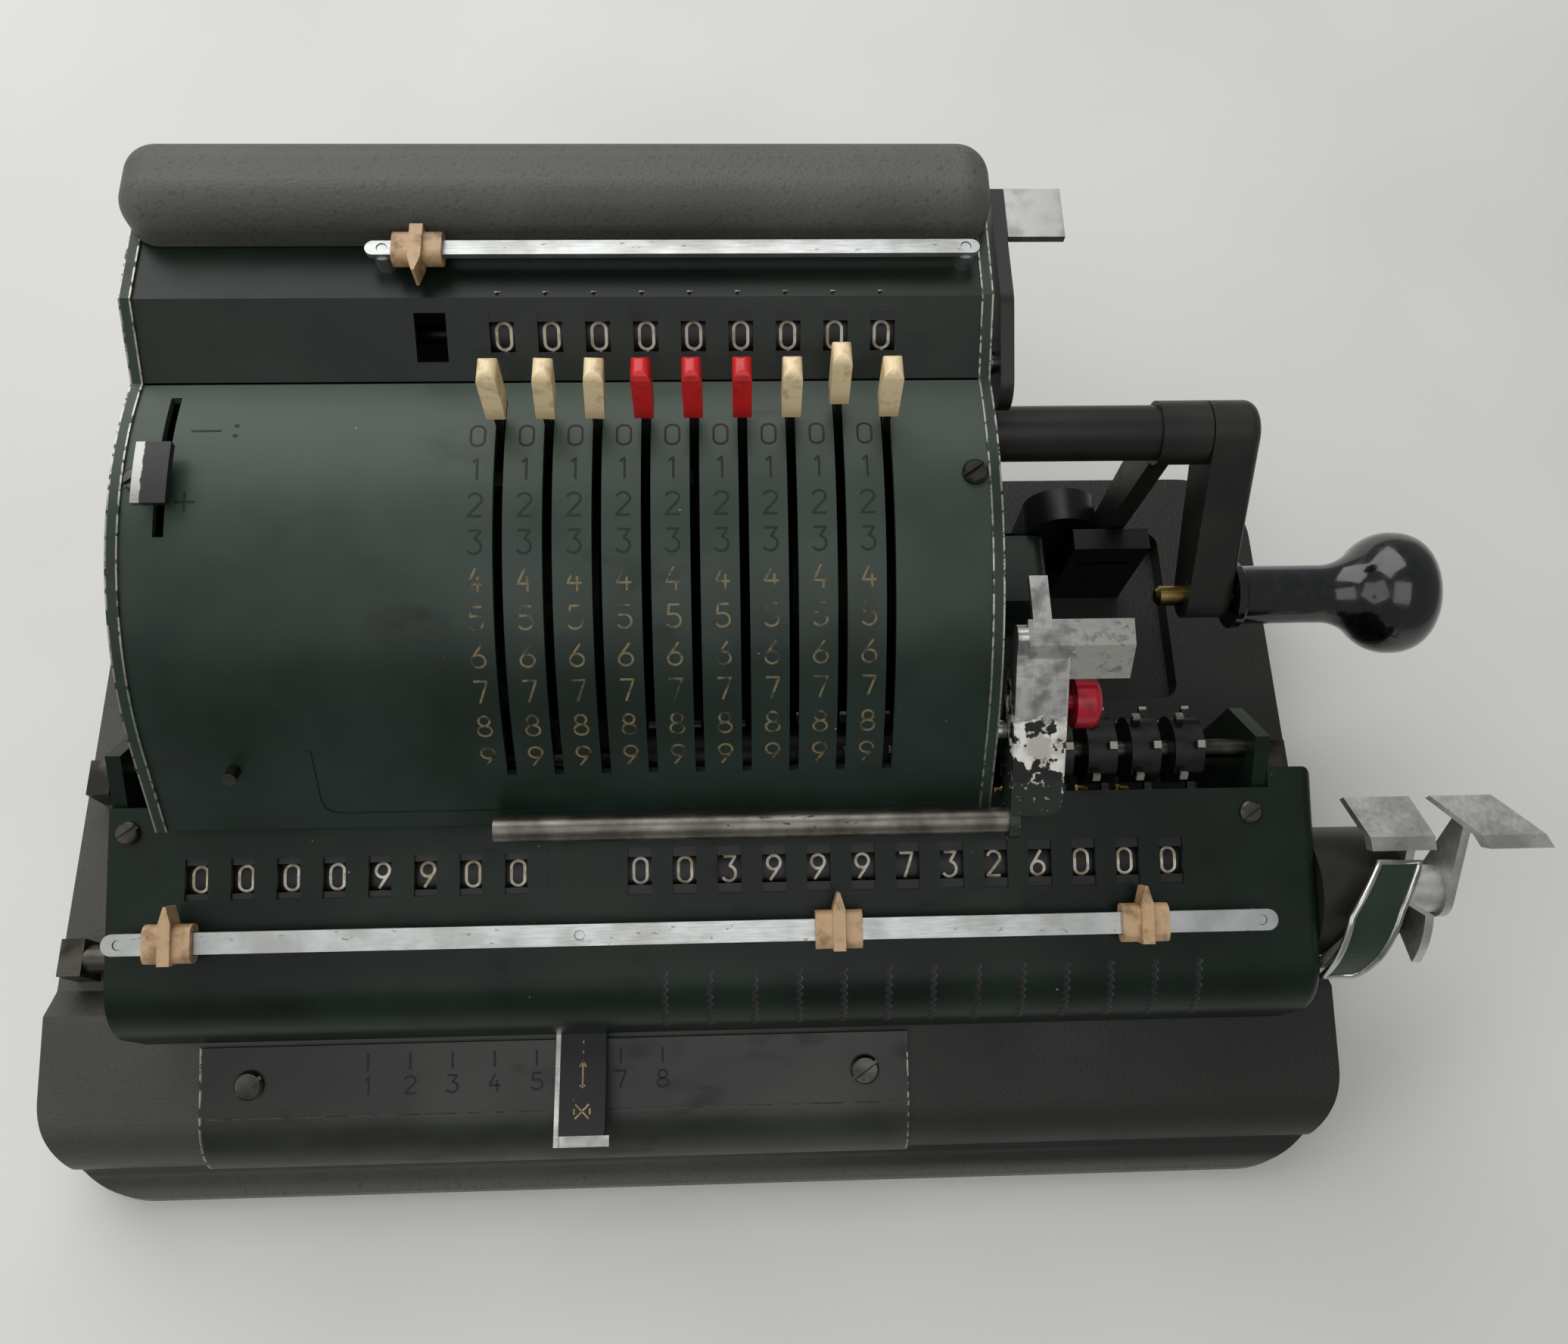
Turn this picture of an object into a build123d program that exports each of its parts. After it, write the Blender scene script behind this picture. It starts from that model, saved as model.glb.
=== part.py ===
"""Pinwheel calculator: nine setting levers, an eight-figure counter and a thirteen-figure result register.

Frame: millimetres, +Z up, +X to the operator's right, +Y away from the operator.
The origin is the centre of the base's footprint, on the table.
"""
from build123d import *
import math
import os

# ---------------------------------------------------------------- driving dimensions
PITCH = 9.0                      # figures, levers and carriage steps
RUNNING_GAP = 0.3                # between pieces that pass each other

FOOT_HEIGHT = 3.0
FOOT_RADIUS = 8.0

BASE_WIDTH = 290.0
BASE_DEPTH = 172.0
BASE_CORNER = 21.0
BASE_DRAFT = 9.0                 # degrees
DECK_Z = 28.0                    # flat top of the base
BROW_Z = 34.0                    # highest line of the front deck, under the carriage
BROW_Y = -48.0
DECK_SLOPE = 15.4                # degrees, front deck
ROLL_RADIUS = 12.0               # front deck rolls over into the front wall
ROLL_Y = -70.0
LIP_Z = 9.0
WELL_FLOOR_Z = 9.0               # room for the setting drum inside the body
TRAY_FLOOR_Z = 22.0              # sunk floor beside the body

DRUM_Y = 44.0                    # axis of the setting drum
DRUM_Z = 48.0
DRUM_RADIUS = 64.0               # edge of the side plates round the drum
DRUM_TOP_ANGLE = 75.5            # where the curved cover meets the window panel
DRUM_LOW_ANGLE = 141.0           # where it goes over into the straight apron
APRON_LENGTH = 19.0
BODY_SCREW_ANGLE = 94.8
STOP_PIN_X = -86.1

NUMBER_PLATE = (-106.5, 45.2)
NUMBER_PLATE_BACK_Y = -55.0
PLATE_SHEET = 1.0
PLATE_SCREW_XS = (-95.9, 35.7)
PLATE_SCREW_Y = -62.6

BODY_LEFT = -104.0
BODY_RIGHT = 59.0
PLATE = 2.3                      # side plates
SHEET = 1.6                      # covers
COVER_INSET = 0.5                # covers stand back from the plates' edges
LEDGE_Y = 72.2
LEDGE_Z = 119.5
HUMP_Y = 83.7                    # front of the rear cover
HUMP_Z = 130.0
BACK_TOP_Y = 102.0
BACK_LOW_Y = 90.0
HUMP_RADIUS = 6.5
REAR_RETURN = 9.0                # depth of the rear cover's side returns
PLATE_FRONT_Y = 14.0             # the carriage works pass under the plates here
PLATE_ARCH_Z = 85.0

LEVER_COUNT = 9
LEVER_FIRST_X = -34.0
ZERO_ANGLE = 84.5                # lever at figure 0, from +Y
LEVER_SHEET = 1.3
SLOT_WIDTH = 1.8
SLOT_ANGLES = (79.6, 147.5)
STEM_WIDTH = 3.2
LEVER_HUB_RADIUS = 8.2
CAP_WIDTH = 3.5
CAP_DEPTH = 5.0
CAP_LENGTH = 12.0
CAP_RADIUS = 68.0                # foot of the caps, from the drum axis
LEVER_SETS = {8: -2.4}           # a lever left short of its zero, degrees
CAP_LEANS = {2: -4.0, 3: -4.0}   # caps bent over, degrees

SHAFT_RADIUS = 4.9
PINWHEEL_RADIUS = 30.0
PINWHEEL_WIDTH = 4.6

CHECK_WINDOW = (4.7, 9.0)
CHECK_WHEEL_RADIUS = 8.6
WINDOW_SHARE = 0.52              # height of the windows on the panel
BLANK_WINDOW_X = -47.3
BLANK_WINDOW_WIDTH = 5.9

BAR_UPPER_Y = 79.8
BAR_UPPER_Z = 123.4
BAR_UPPER = (-58.3, 56.1)
BAR_UPPER_SECTION = (3.1, 1.2)
BAR_LOWER_Y = -37.0
BAR_LOWER_RISE = 3.6             # above the carriage cover
BAR_LOWER = (-114.4, 116.6)
BAR_LOWER_SECTION = (4.2, 1.3)
BAR_STUD_RADIUS = 1.9
MARKER_WIDTH = 9.2
UPPER_MARKER_X = -48.5
LOWER_MARKER_XS = (-101.4, 28.6, 89.6)

SIGN_X = -94.8
SIGN_SLOT_ANGLES = (78.5, 104.5)
SIGN_SLOT_WIDTH = 2.0
SIGN_ANGLE = 95.5

CARRIAGE_LEFT = -115.8
CARRIAGE_RIGHT = 118.0
CARRIAGE_BACK_Y = -11.5
CARRIAGE_FRONT_Y = -54.5
CARRIAGE_SLOPE = 14.6            # degrees
CARRIAGE_BOTTOM_Z = 37.8
CARRIAGE_BACK_Z = 68.9
CARRIAGE_ROLL = 12.0
WINDOW_Y = -25.5
RESULT_COUNT = 13
RESULT_FIRST_X = -10.8
RESULT_WINDOW = (4.8, 9.4)
COUNTER_COUNT = 8
COUNTER_FIRST_X = -98.4
COUNTER_WINDOW = (4.5, 8.2)
REGISTER_WHEEL_RADIUS = 9.0
REGISTER_WHEEL_WIDTH = 5.0
REGISTER_SHAFT_RADIUS = 2.5
WHEEL_PINION_RADIUS = 7.4
PIN_RADIUS = 2.0
PINION_AXIS = (2.6, 49.2)        # pinions between the drum's pins and the carriage
PINION_RADIUS = 7.2
PINION_WIDTH = 2.2
PINION_START = 0.5               # from the lever's slot
TRANSFER_GEAR_AXIS = (-10.3, 48.2)
TRANSFER_GEAR_RADIUS = 5.4
CARRY_SHAFT_RADIUS = 2.0
CARRY_Y = -2.2
CARRY_Z = 66.0
CARRY_RADIUS = 6.9
CARRY_PIN_REACH = 9.0
RAIL_RADIUS = 3.0
RAIL_YS = (-36.0, 4.0)
RAIL_Z = CARRIAGE_BOTTOM_Z - RUNNING_GAP - RAIL_RADIUS
RAIL_END = 132.0
RAIL_BRACKET = (5.0, 8.0)
END_CAP_WIDTH = 9.6
END_WALL = 3.0

CRANK_Y = 59.3
CRANK_Z = 90.1
GRIP_Y = 33.6
GRIP_Z = 64.0
CRANK_TUBE_RADIUS = 5.7
CRANK_TUBE_END = 96.9
BOSS_END = 107.2
PIN_TIP_X = 101.6                # inner end of the crank's pin
SPINDLE_RADIUS = 2.2
CRANK_SHAFT_RADIUS = 3.2
ARM_WIDTH = 10.2
GRIP_LENGTH = 45.0
GRIP_RADIUS = 6.4
GRIP_BALL_RADIUS = 13.4
CRANK_GEAR_RADIUS = 13.9
GEAR_X = 47.5
GEAR_WIDTH = 5.0

ROD_RADIUS = 2.6
ROD_LEFT = -37.8
ROD_CLEARANCE = 1.3              # between the rod and the side plates' edge
ROD_ABOVE_LIP = 2.1              # up the apron from its lower edge
TRANSFER_PIVOT_DOWN = 1.6        # down the apron from the drum arc
TRANSFER_PIVOT_IN = 4.8          # inside the side plates' edge
TRANSFER_X = BODY_RIGHT + 2.5
TRANSFER_SHEET = 2.0
TRANSFER_TAB_END = TRANSFER_X + 22.0
CLEAR_PIVOT = (66.0, 106.0)
CLEAR_X = BODY_RIGHT + 1.6
CLEAR_SHEET = 2.6
CLEAR_TAB = (14.0, 11.5, 1.6)    # width, depth, sheet

KNOB_FROM_PIVOT = (4.0, 4.6)
KNOB_RADIUS = 5.1
KNOB_LENGTH = 5.0
KNOB_REACH = 12.0                # from the lever's sheet to the knob's back
KNOB_PIN_RADIUS = 1.4
CLEARING_AXIS = (-30.0, 52.0)
CLEARING_RADIUS = 13.4
CLEARING_SHAFT_RADIUS = 3.0
CLEARING_DRUM_END = CARRIAGE_RIGHT + 28.0
CLEARING_SHEET = 1.8
COUNTER_WEB_X = CLEARING_DRUM_END + 11.0
WING_SHEET = 3.2
RESULT_TAB = (14.0, 27.6, 19.2, 32.4)     # corners from the cover's end: rear pair, front pair
COUNTER_TAB = (31.6, 44.4, 43.6, 57.0)

STOP_BLOCK = ((89.0, 106.9), (51.4, 56.6), 51.0)     # X, Y, top
STOP_SLIT = ((91.0, 104.0), (42.0, 44.0))            # X, Z
GEAR_BRACKET_END = 83.8
GEAR_BRACKET_YS = (41.0, 58.0)
GEAR_BRACKET_TOP = 45.0
HOUSING_XS = (79.4, 96.2)
HOUSING_BACK_Y = 66.5
HOUSING_DEPTH = 8.0
HOUSING_SPRING_Z = 43.0
HOUSING_CROWN_Z = 53.0

KEY_X = -24.4
KEY_WIDTH = 9.6
KEY_TOP_Z = CARRIAGE_BOTTOM_Z - RUNNING_GAP
KEY_BACK_Y = -52.4
KEY_FRONT_Y = -75.0


# ---------------------------------------------------------------- small helpers
def polar(radius, degrees):
    """Point at a radius and an angle from +Y round the drum axis."""
    angle = math.radians(degrees)
    return (DRUM_Y + radius * math.cos(angle), DRUM_Z + radius * math.sin(angle))


def outline(*edges):
    """Face from edges drawn in the YZ plane."""
    return make_face(Curve() + list(edges))


def polygon(*points):
    """Closed face through points drawn in the YZ plane."""
    return make_face(Polyline(*points, close=True))


def along_x(face, x_from, x_to):
    """Solid made by carrying a YZ face from one X to another."""
    return extrude(Plane.YZ.offset(x_from) * face, x_to - x_from)


def rod_x(y, z, radius, x_from, x_to):
    """Round bar parallel to X."""
    return along_x(Pos(y, z) * Circle(radius), x_from, x_to)


def block(x_range, y_range, z_range):
    """Box between two corners."""
    low = (x_range[0], y_range[0], z_range[0])
    size = (x_range[1] - x_range[0], y_range[1] - y_range[0], z_range[1] - z_range[0])
    return Pos(*low) * Box(*size, align=(Align.MIN, Align.MIN, Align.MIN))


def hull_of(*circles):
    """Face stretched round circles given as (y, z, radius)."""
    edges = [edge for y, z, radius in circles for edge in (Pos(y, z) * Circle(radius)).edges()]
    return make_hull(edges)


def lever_x(index):
    """X of a setting lever's slot, from 1 at the left."""
    return LEVER_FIRST_X + (index - 1) * PITCH


def window_frame(x, y, z, slope):
    """Frame on a sloping panel: local X is X, local Z stands off the panel."""
    angle = math.radians(slope)
    return Plane(origin=(x, y, z), x_dir=(1, 0, 0), z_dir=(0, -math.sin(angle), math.cos(angle)))


def save(name, *shapes):
    """Write one sub-part, as one solid or as a group of separate solids."""
    solids = [solid for shape in shapes for solid in shape.solids()]
    part = solids[0] if len(solids) == 1 else Compound(children=solids)
    part.label = name
    export_step(part, f"parts/{name}.step")


# ---------------------------------------------------------------- base
def deck_z(y):
    """Height of the sloping front deck."""
    return BROW_Z - (BROW_Y - y) * math.tan(math.radians(DECK_SLOPE))


def roll_centre():
    """Centre of the arc that takes the front deck over into the front wall."""
    angle = math.radians(DECK_SLOPE)
    return (ROLL_Y + ROLL_RADIUS * math.sin(angle), deck_z(ROLL_Y) - ROLL_RADIUS * math.cos(angle))


def front_wall_y():
    return roll_centre()[0] - ROLL_RADIUS


def base_casting():
    """Cast base with a drafted wall, a sloping front deck, a toe at the front and a sunk tray."""
    height = BROW_Z + 1 - FOOT_HEIGHT
    plan = RectangleRounded(BASE_WIDTH, BASE_DEPTH, BASE_CORNER)
    body = Pos(0, 0, FOOT_HEIGHT) * extrude(plan, height, taper=BASE_DRAFT)
    centre = roll_centre()
    front, back = -BASE_DEPTH / 2, BASE_DEPTH / 2
    toe = LIP_Z - FOOT_HEIGHT
    side = outline(
        Line((front - 1, FOOT_HEIGHT), (front - 1, LIP_Z - 3)),
        Line((front - 1, LIP_Z - 3), (front_wall_y() - 2, LIP_Z)),
        ThreePointArc((front_wall_y() - 2, LIP_Z), (front_wall_y() - 0.6, LIP_Z + 0.6),
                      (front_wall_y(), LIP_Z + 2)),
        Line((front_wall_y(), LIP_Z + 2), (front_wall_y(), centre[1])),
        CenterArc(centre, ROLL_RADIUS, 180, -(90 - DECK_SLOPE)),
        Line((ROLL_Y, deck_z(ROLL_Y)), (BROW_Y, BROW_Z)),
        Line((BROW_Y, BROW_Z), (BROW_Y + toe, DECK_Z)),
        Line((BROW_Y + toe, DECK_Z), (back + 1, DECK_Z)),
        Line((back + 1, DECK_Z), (back + 1, FOOT_HEIGHT)),
        Line((back + 1, FOOT_HEIGHT), (front - 1, FOOT_HEIGHT)),
    )
    base = body & along_x(side, -BASE_WIDTH, BASE_WIDTH)
    well = block((BODY_LEFT + PLATE + 1, BODY_RIGHT - PLATE - 1), (8, 80), (WELL_FLOOR_Z, BROW_Z))
    tray = block((BODY_RIGHT + 3, 117), (22, 67), (TRAY_FLOOR_Z, BROW_Z))
    tray = fillet(tray.edges().filter_by(Axis.Z), 4)
    return base - well - tray


def rubber_feet():
    """Four round feet under the corners."""
    inset = BASE_CORNER + 3
    across, deep = BASE_WIDTH / 2 - inset, BASE_DEPTH / 2 - inset
    spots = [(sx * across, sy * deep) for sx in (-1, 1) for sy in (-1, 1)]
    foot = Cone(FOOT_RADIUS - 1, FOOT_RADIUS, FOOT_HEIGHT, align=(Align.CENTER, Align.CENTER, Align.MIN))
    return [Pos(x, y, 0) * foot for x, y in spots]


def number_plate():
    """Sheet plate that lies on the front deck and follows its roll."""
    angle = math.radians(DECK_SLOPE)
    centre = roll_centre()
    stand = PLATE_SHEET

    def deck_point(y, rise):
        return (y - rise * math.sin(angle), deck_z(y) + rise * math.cos(angle))

    sweep = 62.0
    start = 90 + DECK_SLOPE
    end = math.radians(start + sweep)

    def roll_end(rise):
        reach = ROLL_RADIUS + rise
        return (centre[0] + reach * math.cos(end), centre[1] + reach * math.sin(end))

    face = outline(
        Line(deck_point(NUMBER_PLATE_BACK_Y, 0), deck_point(ROLL_Y, 0)),
        CenterArc(centre, ROLL_RADIUS, start, sweep),
        Line(roll_end(0), roll_end(stand)),
        CenterArc(centre, ROLL_RADIUS + stand, start + sweep, -sweep),
        Line(deck_point(ROLL_Y, stand), deck_point(NUMBER_PLATE_BACK_Y, stand)),
        Line(deck_point(NUMBER_PLATE_BACK_Y, stand), deck_point(NUMBER_PLATE_BACK_Y, 0)),
    )
    return along_x(face, *NUMBER_PLATE)


def carriage_rails():
    """Two round rails on end brackets, on which the carriage slides."""
    thick, depth = RAIL_BRACKET
    pieces = []
    for y in RAIL_YS:
        pieces.append(rod_x(y, RAIL_Z, RAIL_RADIUS, -RAIL_END, RAIL_END))
        for start in (-RAIL_END - thick, RAIL_END):
            across, deep = (start, start + thick), (y - depth / 2, y + depth / 2)
            pieces.append(block(across, deep, (DECK_Z, RAIL_Z + RAIL_RADIUS)))
    return pieces


# ---------------------------------------------------------------- body
def side_plate(x_from, x_to):
    """Pressed side plate: drum arc, window slope, ledge, back, and the arch over the carriage."""
    low = polar(DRUM_RADIUS, DRUM_LOW_ANGLE)
    top = polar(DRUM_RADIUS, DRUM_TOP_ANGLE)
    apron = apron_end(DRUM_RADIUS)
    face = outline(
        Line(apron, low),
        CenterArc((DRUM_Y, DRUM_Z), DRUM_RADIUS, DRUM_LOW_ANGLE, DRUM_TOP_ANGLE - DRUM_LOW_ANGLE),
        Line(top, (LEDGE_Y, LEDGE_Z)),
        Line((LEDGE_Y, LEDGE_Z), (BACK_TOP_Y - REAR_RETURN, LEDGE_Z)),
        Line((BACK_TOP_Y - REAR_RETURN, LEDGE_Z), (BACK_LOW_Y - REAR_RETURN, DECK_Z)),
        Line((BACK_LOW_Y - REAR_RETURN, DECK_Z), (PLATE_FRONT_Y, DECK_Z)),
        Line((PLATE_FRONT_Y, DECK_Z), (PLATE_FRONT_Y, PLATE_ARCH_Z)),
        Line((PLATE_FRONT_Y, PLATE_ARCH_Z), (apron[0] + 3, apron[1])),
        Line((apron[0] + 3, apron[1]), apron),
    )
    plate = along_x(face, x_from, x_to)
    return plate - rod_x(DRUM_Y, DRUM_Z, SHAFT_RADIUS + RUNNING_GAP, x_from - 1, x_to + 1)


def apron_point(down, out):
    """Point by its way down the apron from the drum arc, and its reach outside the side plates' edge."""
    y, z = polar(DRUM_RADIUS + out, DRUM_LOW_ANGLE)
    angle = math.radians(DRUM_LOW_ANGLE + 90)
    return (y + down * math.cos(angle), z + down * math.sin(angle))


def apron_end(radius):
    """Lower edge of the straight apron that leaves the drum arc."""
    return apron_point(APRON_LENGTH, radius - DRUM_RADIUS)


def right_side_plate():
    """Right side plate, also bored for the crank shaft."""
    plate = side_plate(BODY_RIGHT - PLATE, BODY_RIGHT)
    return plate - rod_x(CRANK_Y, CRANK_Z, CRANK_SHAFT_RADIUS + RUNNING_GAP, BODY_RIGHT - 5, BODY_RIGHT + 5)


def slot_cut(x, from_angle, to_angle, width):
    """Cutter for a slot that follows the drum."""
    inner, outer = DRUM_RADIUS - 8, DRUM_RADIUS + 8
    face = outline(
        CenterArc((DRUM_Y, DRUM_Z), outer, from_angle, to_angle - from_angle),
        Line(polar(outer, to_angle), polar(inner, to_angle)),
        CenterArc((DRUM_Y, DRUM_Z), inner, to_angle, from_angle - to_angle),
        Line(polar(inner, from_angle), polar(outer, from_angle)),
    )
    return along_x(face, x - width / 2, x + width / 2)


def drum_cover():
    """Curved setting cover with nine lever slots, the sign slot and the straight apron."""
    outer = DRUM_RADIUS - COVER_INSET
    inner = outer - SHEET
    face = outline(
        CenterArc((DRUM_Y, DRUM_Z), outer, DRUM_TOP_ANGLE, DRUM_LOW_ANGLE - DRUM_TOP_ANGLE),
        Line(polar(outer, DRUM_LOW_ANGLE), apron_end(outer)),
        Line(apron_end(outer), apron_end(inner)),
        Line(apron_end(inner), polar(inner, DRUM_LOW_ANGLE)),
        CenterArc((DRUM_Y, DRUM_Z), inner, DRUM_LOW_ANGLE, DRUM_TOP_ANGLE - DRUM_LOW_ANGLE),
        Line(polar(inner, DRUM_TOP_ANGLE), polar(outer, DRUM_TOP_ANGLE)),
    )
    cover = along_x(face, BODY_LEFT + PLATE, BODY_RIGHT - PLATE)
    slots = [slot_cut(lever_x(n), *SLOT_ANGLES, SLOT_WIDTH) for n in range(1, LEVER_COUNT + 1)]
    return cover - slots - slot_cut(SIGN_X, *SIGN_SLOT_ANGLES, SIGN_SLOT_WIDTH)


def panel_slope():
    """Slope of the window panel, degrees."""
    y, z = polar(DRUM_RADIUS, DRUM_TOP_ANGLE)
    return math.degrees(math.atan2(LEDGE_Z - z, LEDGE_Y - y))


def panel_point(share, depth):
    """Point on the window panel, from its lower to its upper edge, at a depth under the plates' edge."""
    low = polar(DRUM_RADIUS, DRUM_TOP_ANGLE)
    angle = math.radians(panel_slope())
    y = low[0] + (LEDGE_Y - low[0]) * share + depth * math.sin(angle)
    z = low[1] + (LEDGE_Z - low[1]) * share - depth * math.cos(angle)
    return (y, z)


def panel_crest(depth):
    """Line where the window panel goes over into the flat ledge, at a depth."""
    y, z = panel_point(0, depth)
    return (y + (LEDGE_Z - depth - z) / math.tan(math.radians(panel_slope())), LEDGE_Z - depth)


def window_panel():
    """Steep panel with the nine check windows and one blank, and the ledge behind it."""
    under = COVER_INSET + SHEET
    face = polygon(
        panel_point(0, COVER_INSET),
        panel_crest(COVER_INSET),
        (HUMP_Y + 4, LEDGE_Z - COVER_INSET),
        (HUMP_Y + 4, LEDGE_Z - under),
        panel_crest(under),
        panel_point(0.02, under),
    )
    panel = along_x(face, BODY_LEFT + PLATE, BODY_RIGHT - PLATE)
    middle = panel_point(WINDOW_SHARE, 0)
    cuts = []
    for n in range(1, LEVER_COUNT + 1):
        cuts.append(window_frame(lever_x(n), *middle, panel_slope()) * Box(*CHECK_WINDOW, 8))
    blank = Box(BLANK_WINDOW_WIDTH, CHECK_WINDOW[1], 8)
    cuts.append(window_frame(BLANK_WINDOW_X, *middle, panel_slope()) * blank)
    return panel - cuts


def rear_form(inset):
    """Rounded hump and leaning rear wall in one block; the inner form runs out through the open sides."""
    lean = (BACK_TOP_Y - BACK_LOW_Y) / (LEDGE_Z - DECK_Z)
    run_out = 3 if inset else 0
    low_z = DECK_Z - run_out
    back_low = BACK_LOW_Y - inset - run_out * lean
    reach = REAR_RETURN + 2 * run_out
    face = polygon(
        (HUMP_Y + inset, LEDGE_Z - run_out),
        (HUMP_Y + inset, HUMP_Z - inset),
        (BACK_TOP_Y - inset, HUMP_Z - inset),
        (BACK_TOP_Y - inset, LEDGE_Z),
        (back_low, low_z),
        (back_low - reach, low_z),
        (BACK_TOP_Y - inset - reach - run_out * lean, LEDGE_Z - run_out),
    )
    form = along_x(face, BODY_LEFT + inset, BODY_RIGHT - inset)
    rear = (BACK_LOW_Y + BACK_TOP_Y) / 2 - inset - 3
    top = HUMP_Z - inset - 0.01
    rounded = [edge for edge in form.edges()
               if edge.center().Z > top
               or (abs(edge.tangent_at(0).X) < 0.5 and (edge.center().Z > LEDGE_Z + 1 or edge.center().Y > rear))]
    return fillet(rounded, HUMP_RADIUS - inset)


def top_cover():
    """Rear cover: a rounded hump that goes over into the leaning rear wall and its side returns."""
    return rear_form(0) - rear_form(SHEET)


# ---------------------------------------------------------------- decimal bars
def flat_bar(x_range, y, z, section, slope, hole_xs):
    """Flat bar with round ends and a hole at each stud, standing square to its panel."""
    width, thick = section
    length = x_range[1] - x_range[0]
    frame = window_frame((x_range[0] + x_range[1]) / 2, y, z, slope)
    bar = frame * extrude(SlotOverall(length, width), thick / 2, both=True)
    holes = [window_frame(x, y, z, slope) * Cylinder(1.0, thick + 2) for x in hole_xs]
    return bar - holes


def stud(x, y, z, height, slope):
    """Shouldered stud under a flat bar."""
    frame = window_frame(x, y, z, slope)
    seat = (Align.CENTER, Align.CENTER, Align.MIN)
    return frame * (Cylinder(BAR_STUD_RADIUS, height, align=seat) + Cylinder(0.9, height + 1.0, align=seat))


def upper_bar():
    """Upper decimal bar with its two studs on the ledge."""
    foot = LEDGE_Z - COVER_INSET
    hole_xs = (BAR_UPPER[0] + 3.1, BAR_UPPER[1] - 2.6)
    bar = flat_bar(BAR_UPPER, BAR_UPPER_Y, BAR_UPPER_Z, BAR_UPPER_SECTION, 0, hole_xs)
    height = BAR_UPPER_Z - BAR_UPPER_SECTION[1] / 2 - foot
    return [bar] + [stud(x, BAR_UPPER_Y, foot, height, 0) for x in hole_xs]


def carriage_z(y):
    """Top of the carriage cover."""
    return CARRIAGE_BACK_Z + (y - CARRIAGE_BACK_Y) * math.tan(math.radians(CARRIAGE_SLOPE))


def lower_bar_centre():
    """Middle of the lower bar's section, which stands off the carriage cover."""
    angle = math.radians(CARRIAGE_SLOPE)
    rise = BAR_LOWER_RISE + BAR_LOWER_SECTION[1] / 2
    return (BAR_LOWER_Y - rise * math.sin(angle), carriage_z(BAR_LOWER_Y) + rise * math.cos(angle))


def lower_bar():
    """Lower decimal bar with its three studs on the carriage."""
    y, z = lower_bar_centre()
    hole_xs = (BAR_LOWER[0] + 3.2, -22.3, BAR_LOWER[1] - 3.2)
    bar = flat_bar(BAR_LOWER, y, z, BAR_LOWER_SECTION, CARRIAGE_SLOPE, hole_xs)
    foot_z = carriage_z(BAR_LOWER_Y)
    return [bar] + [stud(x, BAR_LOWER_Y, foot_z, BAR_LOWER_RISE, CARRIAGE_SLOPE) for x in hole_xs]


def marker(x, y, z, section, slope, forward):
    """Moulded slider: two side cheeks and a long pointed ridge, with a passage for the bar."""
    width, thick = section
    frame = window_frame(x, y, z, slope)
    cheek_width = MARKER_WIDTH / 2 - 0.9
    pieces = []
    for side in (-1, 1):
        cheek = Box(cheek_width, width + 3.4, thick + 3.0)
        cheek = fillet(cheek.edges().filter_by(Axis.X), (thick + 3.0) / 2 - 0.3)
        pieces.append(Pos(side * (MARKER_WIDTH - cheek_width) / 2, 0, 0) * cheek)
    reach = forward * (width / 2 + 5.2)
    tail = -forward * (width / 2 + 1.9)
    ridge_face = make_face(Polyline((-1.2, tail), (1.2, tail), (1.2, reach * 0.55), (0.25, reach),
                                    (-0.25, reach), (-1.2, reach * 0.55), close=True))
    ridge = extrude(Pos(0, 0, -thick / 2 - 1.0) * ridge_face, thick + 3.4, dir=(0, 0, 1))
    passage = Box(MARKER_WIDTH * 2, width + 0.5, thick + 0.4)
    return frame * (pieces[0] + pieces[1] + ridge - passage)


def upper_marker():
    return marker(UPPER_MARKER_X, BAR_UPPER_Y, BAR_UPPER_Z, BAR_UPPER_SECTION, 0, -1)


def lower_marker(x):
    return marker(x, *lower_bar_centre(), BAR_LOWER_SECTION, CARRIAGE_SLOPE, 1)


# ---------------------------------------------------------------- setting works
def setting_lever(index):
    """Stamped lever with its hub on the drum shaft, and the moulded cap on its stem."""
    x = lever_x(index)
    stand = ZERO_ANGLE + LEVER_SETS.get(index, 0.0)
    half = STEM_WIDTH / 2
    blade = make_face(Polyline((0, -6), (40, -half), (CAP_RADIUS, -half), (CAP_RADIUS, half), (40, half),
                               (0, 6), close=True))
    blade = blade + Circle(LEVER_HUB_RADIUS) - Circle(SHAFT_RADIUS + RUNNING_GAP)
    lever = along_x(Pos(DRUM_Y, DRUM_Z) * Rot(0, 0, stand) * blade, x - LEVER_SHEET / 2, x + LEVER_SHEET / 2)
    cap = Box(CAP_LENGTH, CAP_DEPTH, CAP_WIDTH, align=(Align.MIN, Align.CENTER, Align.CENTER))
    cap = fillet(cap.faces().sort_by(Axis.X)[-1].edges(), CAP_WIDTH * 0.42)
    cap = Rot(0, CAP_LEANS.get(index, 0.0), 0) * cap
    frame = Plane(origin=(x, DRUM_Y, DRUM_Z), x_dir=direction(stand), z_dir=(1, 0, 0))
    return [lever, frame * (Pos(CAP_RADIUS, 0, 0) * cap) - lever]


def direction(degrees):
    """Unit vector in the YZ plane at an angle from +Y."""
    angle = math.radians(degrees)
    return (0, math.cos(angle), math.sin(angle))


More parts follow.
